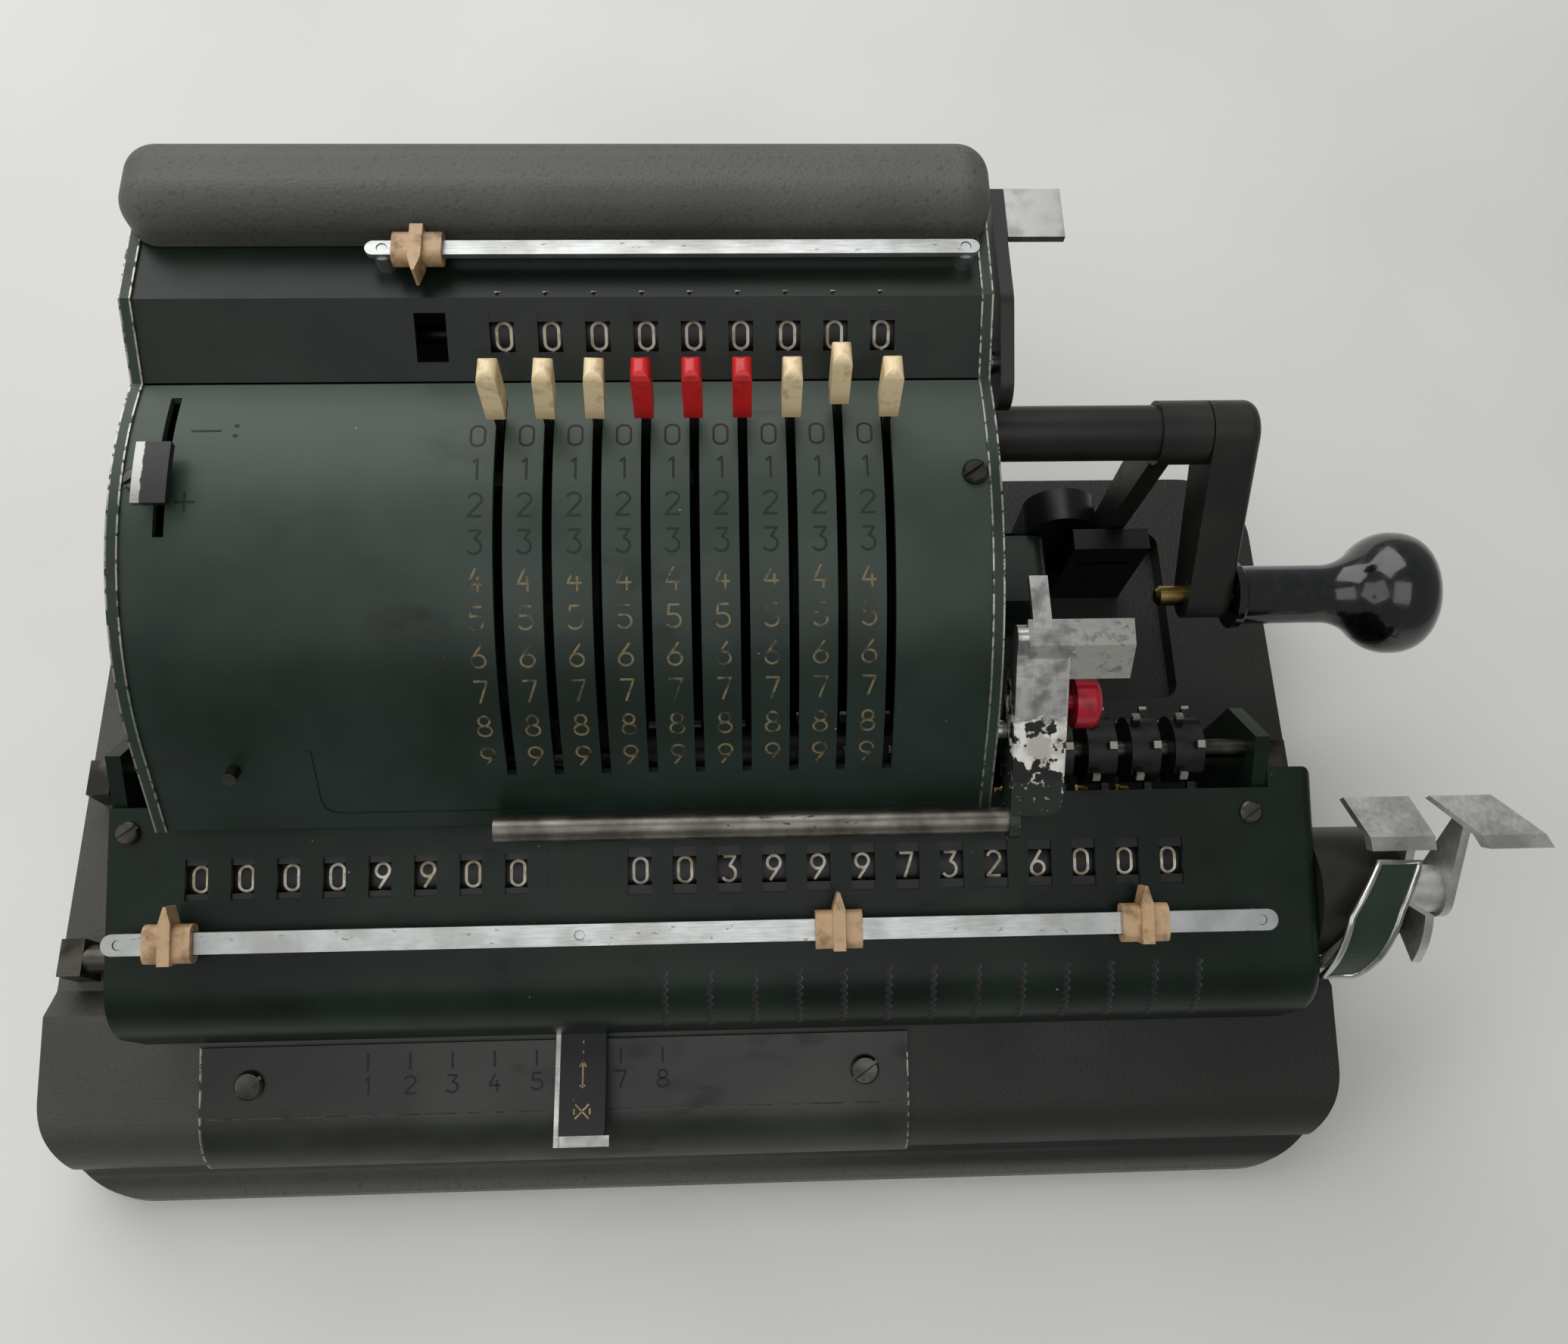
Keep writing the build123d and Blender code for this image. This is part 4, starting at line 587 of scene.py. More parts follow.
@dataclass(frozen=True)
class ClearLever:
    """Setting-clear lever: black enamelled web with a nickelled thumb tab."""

    name: str = "clear_lever"
    tab_from: float = 63.3 * MM

    def material(self) -> bpy.types.Material:
        """Build the finish.

        Returns:
            The material.
        """
        graph = Graph(self.name)
        scratches = graph.pattern("TexNoise", 0.5 * MM, octaves(3), (1.0, 6.0, 1.0))
        tab = graph.add("MapRange", {0: graph.x, 1: self.tab_from, 2: self.tab_from + 0.2 * MM}, **SMOOTH)
        clouds = graph.add("MapRange", {0: graph.pattern("TexNoise", 6 * MM, octaves(3)), 1: 0.4, 2: 0.7}, **SMOOTH)
        nickel = graph.add("Mix", {0: clouds, 6: linear("#bdbdba"), 7: linear("#9a9a97")}, 2, **COLOURS)
        patches = graph.pattern("TexNoise", 5 * MM, octaves(3))
        black = graph.add("Mix", {0: patches, 6: linear("#0c0d0b"), 7: linear("#191a17")}, 2, **COLOURS)
        brushed = graph.add("Mix", {0: scratches, 2: 0.3, 3: 0.46})
        return graph.finish((scratches, 0.008 * MM),
                            base_color=graph.add("Mix", {0: tab, 6: black, 7: nickel}, 2, **COLOURS),
                            metallic=graph.add("Math", {0: tab, 1: 0.95}, operation="MULTIPLY"),
                            roughness=graph.add("Mix", {0: tab, 2: 0.4, 3: brushed}))


@dataclass(frozen=True)
class Figures:
    """Filled figures: enamel rubbed into engraved strokes, paler where it is clean."""

    name: str
    colour: str
    faded: str
    roughness: float = 0.5

    def material(self) -> bpy.types.Material:
        """Build the finish.

        Returns:
            The material.
        """
        graph = Graph(self.name)
        patches = graph.pattern("TexNoise", 2.6 * MM, octaves(4))
        faded = graph.add("MapRange", {0: patches, 1: 0.42, 2: 0.62}, **SMOOTH)
        return graph.finish(roughness=self.roughness, base_color=graph.add(
            "Mix", {0: faded, 6: linear(self.colour), 7: linear(self.faded)}, 2, **COLOURS))


@dataclass(frozen=True)
class Floor:
    """Plain pale surface that takes soft shadows."""

    name: str = "floor_finish"
    colour: str = "#e3e3de"
    shaded: str = "#dddcd7"

    def material(self) -> bpy.types.Material:
        """Build the finish.

        Returns:
            The material.
        """
        graph = Graph(self.name)
        patches = graph.pattern("TexNoise", 120 * MM, octaves(2))
        tone = graph.add("MapRange", {0: patches, 1: 0.3, 2: 0.7}, **SMOOTH)
        return graph.finish(roughness=0.7, base_color=graph.add(
            "Mix", {0: tone, 6: linear(self.colour), 7: linear(self.shaded)}, 2, **COLOURS))


def shared(finish: object) -> bpy.types.Material:
    """Make a dataclass field whose finish is built with the set.

    Args:
        finish: The finish.

    Returns:
        The field.
    """
    return field(default_factory=finish.material)


@dataclass
class Finishes:
    """All finishes, each built once and shared."""

    # Satin green stoving enamel: deep in the shade, grey-green where the light grazes it.
    green: bpy.types.Material = shared(Enamel("green_enamel"))
    rim: bpy.types.Material = shared(Enamel("rim_enamel", wear=Wear.DRUM_RIM))
    # The same enamel on the drum, a little duller, paled towards its upper, rear part by a painted sheen.
    drum: bpy.types.Material = shared(Enamel(
        "drum_enamel", "#15221a", "#22302a", grime="#14130e", roughness=0.36, gloss=0.32, handled="#475448"))
    # Darker and duller on the carriage and round the windows: the darker colours are painted shade on these front
    # faces, the lower gloss is their own.
    carriage: bpy.types.Material = shared(Enamel(
        "carriage_enamel_painted_shade", "#0c160f", "#16241a", roughness=0.36, gloss=0.22))
    # Painted shade: a darker copy of the green enamel on the window strip.
    panel: bpy.types.Material = shared(Enamel("panel_enamel_painted_shade", "#151d17", "#202a22", roughness=0.36, gloss=0.3))
    # Bare steel shows along the bracket's and the number plate's ends.
    bracket: bpy.types.Material = shared(Enamel("bracket_enamel", wear=Wear.BRACKET))
    plate: bpy.types.Material = shared(Enamel("plate_enamel", "#1f221d", "#333630", wear=Wear.PLATE_END))
    # Black enamels: greyed on the crank, blacker and glossier on the small works.
    dark: bpy.types.Material = shared(Enamel("dark_enamel", "#1b1c19", "#2b2c28", roughness=0.42))
    black: bpy.types.Material = shared(Enamel("black_enamel", "#0b0c0b", "#151614", roughness=0.32))
    # Thick grained paint: sparkles finely, paler along the front skirt, oil-dark at the right.
    base: bpy.types.Material = shared(GrainedPaint(
        "base_paint", "#3b3a36", "#4b4a45", oiled="#1c1b18", dusty="#5b5954"))
    hood: bpy.types.Material = shared(GrainedPaint("hood_paint", "#4c4d48", "#5d5e58", 0.7 * MM, 0.12 * MM, 0.5))
    # Plated steels, from bright chrome to the tarnished rod and the matt thumb tabs.
    chrome: bpy.types.Material = shared(PlatedSteel("chrome_plate"))
    bar: bpy.types.Material = shared(PlatedSteel("bar_plate", "#c2c4c2", "#a9aaa7", 0.38, 0.4))
    rod: bpy.types.Material = shared(PlatedSteel("rod_plate", "#87827b", "#5e5a54", 0.36, 0.8))
    tab: bpy.types.Material = shared(PlatedSteel("tab_plate", "#dededb", "#bcbcb8", 0.44, 0.5, (3.0, 3.0, 1.0)))
    # Bare steels under an oil film, and turned brass gone brown.
    steel: bpy.types.Material = shared(PlatedSteel("oiled_steel", "#57554f", "#302e29", 0.34, 0.8))
    dark_steel: bpy.types.Material = shared(PlatedSteel("blued_steel", "#24231f", "#11110f", 0.38, 0.6))
    brass: bpy.types.Material = shared(PlatedSteel("brass_metal", "#a58a52", "#6f5a33", 0.3, 0.6))
    # Levers of two finishes each: a moulded cap, a painted face or a plated tab on steel.
    ivory_lever: bpy.types.Material = shared(CappedLever("ivory_lever", "#f7dfb2", "#a98355"))
    red_lever: bpy.types.Material = shared(CappedLever("red_lever", "#d41f22", "#7d1013"))
    sign_tab: bpy.types.Material = shared(SignTab())
    strip: bpy.types.Material = shared(TransferLever())
    clear_lever: bpy.types.Material = shared(ClearLever())
    carry: bpy.types.Material = shared(CarryDrum())
    # Moulded resins and rubber: tan markers gone brown in their folds, a glossy black grip.
    tan: bpy.types.Material = shared(Plastic("tan_resin", "#c4a27c", "#8a6b48", 0.42))
    red: bpy.types.Material = shared(Plastic("red_resin", "#b00f29", "#74091a", 0.30, 0.15))
    grip: bpy.types.Material = shared(Plastic("black_resin", "#070809", "#0e0f11", 0.16, 0.6))
    rubber: bpy.types.Material = shared(Plastic("foot_rubber", "#0d0d0c", "#1a1917", 0.75))
    # Black wheels, and the filled figures and lines: cream, black, ochre, scribed and gold, and a grey-green painted
    # highlight for the carriage notches.
    wheel: bpy.types.Material = shared(Enamel("wheel_enamel", "#070707", "#11110f", roughness=0.4))
    white_figures: bpy.types.Material = shared(Figures("white_figures", "#e9e3d2", "#b9a988"))
    dark_figures: bpy.types.Material = shared(Figures("dark_figures", "#050604", "#0e100c", 0.6))
    ochre_figures: bpy.types.Material = shared(Figures("ochre_figures", "#7d6d49", "#2a281d"))
    scribed: bpy.types.Material = shared(Figures("scribed_line", "#4a4534", "#17170f", 0.6))
    # Grey-green painted highlight along one edge of each carriage notch.
    notch_highlight: bpy.types.Material = shared(Figures("notch_highlight", "#4a5448", "#1f2720"))
    gold_figures: bpy.types.Material = shared(Figures("gold_figures", "#b59a63", "#8b744a"))


# ---------------------------------------------------------------- strokes
def arc(cx: float, cy: float, rx: float, ry: float, start: float, end: float, steps: int = 10) -> List[Flat]:
    """Points of an elliptic arc.

    Args:
        cx: Centre across.
        cy: Centre up.
        rx: Half width.
        ry: Half height.
        start: First angle in degrees.
        end: Last angle in degrees.
        steps: Number of chords.

    Returns:
        Points along the arc.
    """
    angles = [math.radians(start + (end - start) * k / steps) for k in range(steps + 1)]
    return [(cx + rx * math.cos(a), cy + ry * math.sin(a)) for a in angles]


# Strokes of each sign in a box that is 0.5 wide and 1 high, centred on 0, 0.
GLYPHS: Dict[str, List[List[Flat]]] = {
    "0": [arc(0, 0.24, 0.25, 0.26, 0, 180) + arc(0, -0.24, 0.25, 0.26, 180, 360) + [(0.25, 0.24)]],
    "1": [[(-0.12, 0.30), (0.04, 0.5), (0.04, -0.5)]],
    "2": [arc(0, 0.24, 0.24, 0.26, 165, -25) + [(-0.25, -0.5), (0.25, -0.5)]],
    "3": [[(-0.22, 0.5), (0.22, 0.5), (0.0, 0.12)] + arc(-0.03, -0.19, 0.26, 0.31, 75, -150)],
    "4": [[(0.02, 0.5), (-0.24, -0.16), (0.26, -0.16)], [(0.10, 0.14), (0.10, -0.5)]],
    "5": [[(0.20, 0.5), (-0.17, 0.5), (-0.20, 0.08)] + arc(-0.02, -0.18, 0.26, 0.30, 110, -150)],
    "6": [[(0.14, 0.5), (-0.20, -0.06)] + arc(0, -0.22, 0.25, 0.28, 160, -200, 14)],
    "7": [[(-0.24, 0.5), (0.24, 0.5), (-0.06, -0.5)]],
    "8": [arc(0, 0.25, 0.20, 0.24, -90, 270, 14), arc(0, -0.25, 0.25, 0.26, 90, 450, 14)],
    "9": [arc(0, 0.22, 0.25, 0.28, -20, 340, 14) + [(0.20, 0.06), (-0.14, -0.5)]],
    "-": [[(-0.5, 0.0), (0.5, 0.0)]],
    "+": [[(-0.4, 0.0), (0.4, 0.0)], [(0.0, 0.4), (0.0, -0.4)]],
    "x": [[(-0.3, 0.3), (0.3, -0.3)], [(-0.3, -0.3), (0.3, 0.3)], [(-0.34, 0.12), (-0.34, -0.12)],
          [(0.34, 0.12), (0.34, -0.12)]],
    "|": [[(0.0, 0.5), (0.0, -0.5)]],
    ":": [arc(0, 0.3, 0.05, 0.05, 0, 360, 8), arc(0, -0.3, 0.05, 0.05, 0, 360, 8)],
    "^": [[(0.0, 0.5), (0.0, -0.5)], [(-0.14, 0.28), (0.0, 0.5), (0.14, 0.28)],
          [(-0.12, -0.42), (0.12, -0.42)]],
}


Surface = Callable[[float, float, float], Point]


def plane_surface(origin: Point, slope: float) -> Surface:
    """Make a map onto a flat face that leans towards the operator.

    Args:
        origin: Middle of the sign on the face.
        slope: Slope of the face in degrees.

    Returns:
        Function of across, up and out that gives a point.
    """
    angle = math.radians(slope)

    def at(across: float, up: float, out: float) -> Point:
        y = origin[1] + up * math.cos(angle) - out * math.sin(angle)
        z = origin[2] + up * math.sin(angle) + out * math.cos(angle)
        return (origin[0] + across, y, z)

    return at


def drum_surface(x: float, degrees: float, axis: Flat, radius: float, straight_from: float = 400.0) -> Surface:
    """Make a map onto a round face whose axis is parallel to X, and which may run out straight.

    Args:
        x: Middle of the sign.
        degrees: Angle of its middle from +Y.
        axis: Y and Z of the axis.
        radius: Radius of the face.
        straight_from: Angle where the face leaves the arc along its tangent.

    Returns:
        Function of across, up and out that gives a point.
    """
    def at(across: float, up: float, out: float) -> Point:
        angle = math.radians(degrees) - up / radius
        turned = min(angle, math.radians(straight_from))
        past = (angle - turned) * radius
        reach = radius + out
        return (x + across, axis[0] + reach * math.cos(turned) - past * math.sin(turned),
                axis[1] + reach * math.sin(turned) + past * math.cos(turned))

    return at


def divided(path: Sequence[Flat], longest: float = 0.45 * MM) -> List[Flat]:
    """Split long chords, so that a stroke follows a curved face.

    Args:
        path: Corners across and up.
        longest: Longest chord allowed.

    Returns:
        The corners and the points between them.
    """
    points = [path[0]]
    for start, end in zip(path, path[1:]):
        parts = max(1, math.ceil(math.dist(start, end) / longest))
        points += [(start[0] + (end[0] - start[0]) * k / parts, start[1] + (end[1] - start[1]) * k / parts)
                   for k in range(1, parts + 1)]
    return points


def round_point(x: float, degrees: float, axis: Flat, radius: float) -> Point:
    """Place a point round an axis that is parallel to X.

    Args:
        x: Its X.
        degrees: Angle from +Y.
        axis: Y and Z of the axis.
        radius: Reach from the axis.

    Returns:
        The point.
    """
    angle = math.radians(degrees)
    return (x, axis[0] + radius * math.cos(angle), axis[1] + radius * math.sin(angle))


def interpolate(pairs: Sequence[Flat], at: float) -> float:
    """Read a value between given pairs.

    Args:
        pairs: Places and values, with rising places.
        at: Place to read.

    Returns:
        The value there.
    """
    for (low, first), (high, second) in zip(pairs, pairs[1:]):
        if at <= high:
            return first + (second - first) * (at - low) / (high - low)
    return pairs[-1][1]


def round_rod(name: str, points: Sequence[Point], radius: float, closed: bool = False) -> bpy.types.Object:
    """Bend a round rod through points.

    Args:
        name: Piece name.
        points: Middle line.
        radius: Radius of the rod.
        closed: Whether the ends meet.

    Returns:
        The new object, linked and without a material.
    """
    curve = bpy.data.curves.new(name, "CURVE")
    curve.dimensions = "3D"
    curve.bevel_depth = radius
    curve.bevel_resolution = 3
    curve.use_fill_caps = not closed
    line = curve.splines.new("POLY")
    line.points.add(len(points) - 1)
    for spot, point in zip(line.points, points):
        spot.co = (*point, 1.0)
    line.use_cyclic_u = closed
    rod = bpy.data.objects.new(name, curve)
    bpy.context.collection.objects.link(rod)
    return rod


@dataclass
class StrokeMesh:
    """Closed flat strokes gathered into one mesh."""

    verts: List[Point] = field(default_factory=list)
    faces: List[Tuple[int, ...]] = field(default_factory=list)

    def stroke(self, path: Sequence[Flat], width: float, surface: Surface, height: float, sink: float) -> None:
        """Lay one stroke on a surface.

        Args:
            path: Points across and up in metres.
            width: Stroke's width in metres.
            surface: Map onto the face.
            height: How far it stands out.
            sink: How far its underside is sunk.
        """
        closed = math.dist(path[0], path[-1]) < 1e-7
        points = divided(path)
        points = points[:-1] if closed else points
        count = len(points)
        start = len(self.verts)
        for k, (across, up) in enumerate(points):
            before = points[k - 1] if closed or k else points[k]
            after = points[(k + 1) % count] if closed or k < count - 1 else points[k]
            run = Vector((after[0] - before[0], after[1] - before[1]))
            run = run.normalized() if run.length > 1e-9 else Vector((0.0, 1.0))
            side = (-run[1] * width / 2, run[0] * width / 2)
            for sign, out in ((1, height), (-1, height), (-1, -sink), (1, -sink)):
                self.verts.append(surface(across + sign * side[0], up + sign * side[1], out))
        for k in range(count if closed else count - 1):
            here, there = start + 4 * k, start + 4 * ((k + 1) % count)
            for corner in range(4):
                turn = (corner + 1) % 4
                self.faces.append((here + corner, here + turn, there + turn, there + corner))
        if not closed:
            last = start + 4 * (count - 1)
            self.faces.append((start + 3, start + 2, start + 1, start))
            self.faces.append((last, last + 1, last + 2, last + 3))

    def sign(self, glyph: str, size: Flat, width: float, surface: Surface,
             height: float = 0.04 * MM, sink: float = 0.1 * MM) -> None:
        """Lay a sign on a surface.

        Args:
            glyph: Its key in GLYPHS.
            size: Width and height in metres.
            width: Stroke's width in metres.
            surface: Map onto the face.
            height: How far it stands out.
            sink: How far its underside is sunk.
        """
        for path in GLYPHS[glyph]:
            scaled = [(u * 2 * size[0], v * size[1]) for u, v in path]
            self.stroke(scaled, width, surface, height, sink)

    def piece(self, name: str, material: bpy.types.Material, body: str, slot: str) -> bpy.types.Object:
        """Make the object and let it ride.

        Args:
            name: Piece name.
            material: Its finish.
            body: CAD body that it rides on.
            slot: Material slot; not used.

        Returns:
            The new object.
        """
        mesh = bpy.data.meshes.new(name)
        mesh.from_pydata(self.verts, [], self.faces)
        mesh.validate()
        mesh.update()
        piece = bpy.data.objects.new(name, mesh)
        bpy.context.collection.objects.link(piece)
        mesh.materials.append(material)
        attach(piece, body)
        LOG.info("added %s: %d faces on %s", name, len(mesh.polygons), body)
        return piece


# ---------------------------------------------------------------- sub-assemblies
@dataclass
class Assembly:
    """A group of CAD nodes that get their finishes together."""

    finishes: Finishes
    nodes: Dict[str, bpy.types.Object]

    def dress(self, material: bpy.types.Material, *names: str) -> None:
        """Give nodes a finish.

        Args:
            material: The finish.
            *names: Node names.
        """
        for name in names:
            mesh = self.nodes[name].data
            mesh.materials.clear()
            mesh.materials.append(material)
            LOG.info("finished %s with %s", name, material.name)


@dataclass
class Base(Assembly):
    """Cast base, its feet, rails and the number plate on its front deck."""

    def build(self) -> None:
        """Finish the base and mark the plate."""
        look = self.finishes
        self.dress(look.base, "base_casting")
        self.dress(look.rubber, "rubber_feet")
        self.dress(look.plate, "number_plate")
        self.dress(look.steel, "carriage_rails")
        self.plate_figures()

    def plate_figures(self) -> None:
        """Mark the plate's places 1 to 8 with ticks above them, and its scribed line."""
        strokes = StrokeMesh()
        slope = math.tan(math.radians(DECK_SLOPE))
        for index in range(8):
            x = (-71.0 + index * 9.0) * MM
            for glyph, y, size in ((str(index + 1), -63.4, (2.4, 3.6)), ("|", -58.6, (0.5, 3.4))):
                z = (34.0 - (-48.0 - y) * slope + 1.04) * MM
                surface = plane_surface((x, y * MM - 0.27 * MM, z), DECK_SLOPE)
                strokes.sign(glyph, (size[0] * MM, size[1] * MM), 0.42 * MM, surface)
        strokes.piece("plate_figures", self.finishes.dark_figures, "machine", "black_plate")
        line = StrokeMesh()
        y = -69.4
        z = (34.0 - (-48.0 - y) * slope + 1.04) * MM
        surface = plane_surface((PLATE_MIDDLE_X, y * MM - 0.27 * MM, z), DECK_SLOPE)
        line.stroke([(-74 * MM, 0.0), (74 * MM, 0.0)], 0.25 * MM, surface, 0.02 * MM, 0.1 * MM)
        line.piece("plate_scribed_line", self.finishes.scribed, "machine", "black_plate")


@dataclass
class Body(Assembly):
    """Side plates, covers and the marks on the drum cover."""

    def build(self) -> None:
        """Finish the covers and lay their marks."""
        look = self.finishes
        self.dress(look.rim, "left_side_plate", "right_side_plate")
        self.dress(look.drum, "drum_cover")
        self.dress(look.panel, "window_panel")
        self.dress(look.hood, "top_cover")
        self.dress(look.steel, "body_screws")
        self.dress(look.dark_steel, "body_shafts")
        self.dress(look.chrome, "pivot_pins")
        self.row_figures()
        self.sign_marks()
        self.apron_bead()
        self.closing_strip()

    def row_figures(self) -> None:
        """Lay the figures 0 to 9 beside each slot, the lower rows with worn ochre in their strokes."""
        upper, lower = StrokeMesh(), StrokeMesh()
        for index in range(1, LEVER_COUNT + 1):
            for figure in range(10):
                angle = ZERO_ROW_ANGLE + figure * ROW_STEP
                surface = drum_surface(lever_x(index) - 4.1 * MM, angle, DRUM_AXIS, COVER_RADIUS, APRON_DEGREES)
                strokes = upper if figure < 4 else lower
                strokes.sign(str(figure), (2.6 * MM, 4.3 * MM), 0.42 * MM, surface)
        upper.piece("drum_figures_upper", self.finishes.dark_figures, "machine", "green_paint")
        lower.piece("drum_figures_lower", self.finishes.ochre_figures, "machine", "green_paint")

    def sign_marks(self) -> None:
        """Lay the signs beside the sign lever's slot."""
        strokes = StrokeMesh()
        for glyph, x, angle, size in (("-", -88.0, 85.6, (2.7, 3.0)), (":", -82.6, 85.6, (3.0, 3.6)),
                                      ("+", -90.4, 98.6, (2.4, 4.8))):
            surface = drum_surface(x * MM, angle, DRUM_AXIS, COVER_RADIUS)
            strokes.sign(glyph, (size[0] * MM, size[1] * MM), 0.44 * MM, surface)
        strokes.piece("sign_marks", self.finishes.dark_figures, "machine", "green_paint")

    def apron_bead(self) -> None:
        """Raise the pressed bead that runs down and along the apron's lip."""
        strokes = StrokeMesh()
        surface = plane_surface((0.0, -11.6 * MM, 80.25 * MM), 51.0)
        path = [(-71.5, 9.0), (-71.5, -2.0), (-71.1, -4.2), (-69.8, -5.4), (-67.5, -5.9), (56.0, -5.9)]
        strokes.stroke([(u * MM, v * MM) for u, v in path], 0.7 * MM, surface, 0.25 * MM, 0.3 * MM)
        strokes.piece("apron_bead", self.finishes.drum, "machine", "green_paint")


    def closing_strip(self) -> None:
        """Close the gap between the base's back and the rear cover, so no light comes up through the slots."""
        left, right = -101.4 * MM, 56.4 * MM
        section = ((86.1, 20.0), (87.1, 20.0), (87.1, 27.3), (93.9, 27.3), (93.9, 28.3), (86.1, 28.3))
        strip = StrokeMesh()
        strip.verts = [(x, y * MM, z * MM) for x in (left, right) for y, z in section]
        count = len(section)
        strip.faces = [(k, (k + 1) % count, count + (k + 1) % count, count + k) for k in range(count)]
        strip.faces += [tuple(reversed(range(count))), tuple(range(count, 2 * count))]
        strip.piece("rear_closing_strip", self.finishes.black, "machine", "black_paint")


@dataclass
class Registers(Assembly):
    """Number wheels of the check, counter and result registers."""

    shown_counter: str = "00009900"
    shown_result: str = "0039997326000"
    clear_height: float = 5.6 * MM

    def build(self) -> None:
        """Finish the wheels and lay ten figures round each."""
        look = self.finishes
        self.dress(look.wheel, "check_wheels", "counter_wheels", "result_wheels")
        self.dress(look.carry, "carry_drums")
        self.dress(look.brass, "transfer_gears")
        self.dress(look.dark_steel, "intermediate_gears")
        self.dress(look.steel, "carriage_shafts")
        self.wheel_figures("check_figures", "0" * LEVER_COUNT, LEVER_FIRST_X, CHECK_AXIS, CHECK_RADIUS,
                           90 + PANEL_SLOPE, "check_register")
        self.wheel_figures("counter_figures", self.shown_counter, COUNTER_FIRST_X, REGISTER_AXIS,
                           REGISTER_RADIUS, 90 + CARRIAGE_SLOPE, "counter_register")
        self.wheel_figures("result_figures", self.shown_result, RESULT_FIRST_X, REGISTER_AXIS,
                           REGISTER_RADIUS, 90 + CARRIAGE_SLOPE, "result_register")
        # Painted shade: black strips inside each window, above and below the shown figure.
        rows = (("check_window_shade", LEVER_FIRST_X, LEVER_COUNT, (4.7, 9.0), (66.36, 114.92), PANEL_SLOPE, "machine"),
                ("counter_window_shade", COUNTER_FIRST_X, 8, (4.5, 8.2), (-25.5, 65.25), CARRIAGE_SLOPE, "carriage"),
                ("result_window_shade", RESULT_FIRST_X, 13, (4.8, 9.4), (-25.5, 65.25), CARRIAGE_SLOPE, "carriage"))
        for name, first, count, window, middle, slope, body in rows:
            self.window_blinds(name, [first + place * PITCH for place in range(count)],
                               (window[0] * MM, window[1] * MM), (middle[0] * MM, middle[1] * MM), slope, body)

    def window_blinds(self, name: str, xs: Sequence[float], window: Flat, middle: Flat, slope: float,
                      body: str) -> None:
        """Close each window above and below its figure with black strips behind the cover, painted shade that hides
        the neighbouring figures.

        Args:
            name: Piece name.
            xs: X of the windows.
            window: Width and height of a window.
            middle: Y and Z of the windows' middle on the cover.
            slope: Slope of the cover in degrees.
            body: CAD body of the cover.
        """
        strokes = StrokeMesh()
        depth = (window[1] - self.clear_height) / 2
        for x in xs:
            surface = plane_surface((x, *middle), slope)
            for side in (1, -1):
                level = side * (window[1] - depth) / 2
                strokes.stroke([(-window[0] / 2, level), (window[0] / 2, level)], depth, surface,
                               -0.6 * MM, 1.5 * MM)
        strokes.piece(name, self.finishes.wheel, body, "black_paint")

    def wheel_figures(self, name: str, shown: str, first_x: float, axis: Flat, radius: float,
                      window: float, body: str) -> None:
        """Lay the figures round one row of wheels.

        Args:
            name: Piece name.
            shown: Figure in each window, from the left.
            first_x: X of the first wheel.
            axis: Y and Z of the row's axis.
            radius: Radius of the wheels.
            window: Angle of the windows from +Y.
            body: CAD body that the wheels belong to.
        """
        strokes = StrokeMesh()
        for place, figure in enumerate(shown):
            for other in range(10):
                angle = window + (other - int(figure)) * 36.0
                surface = drum_surface(first_x + place * PITCH, angle, axis, radius)
                strokes.sign(str(other), (2.7 * MM, 5.0 * MM), 0.56 * MM, surface)
        strokes.piece(name, self.finishes.white_figures, body, "wheel_enamel")


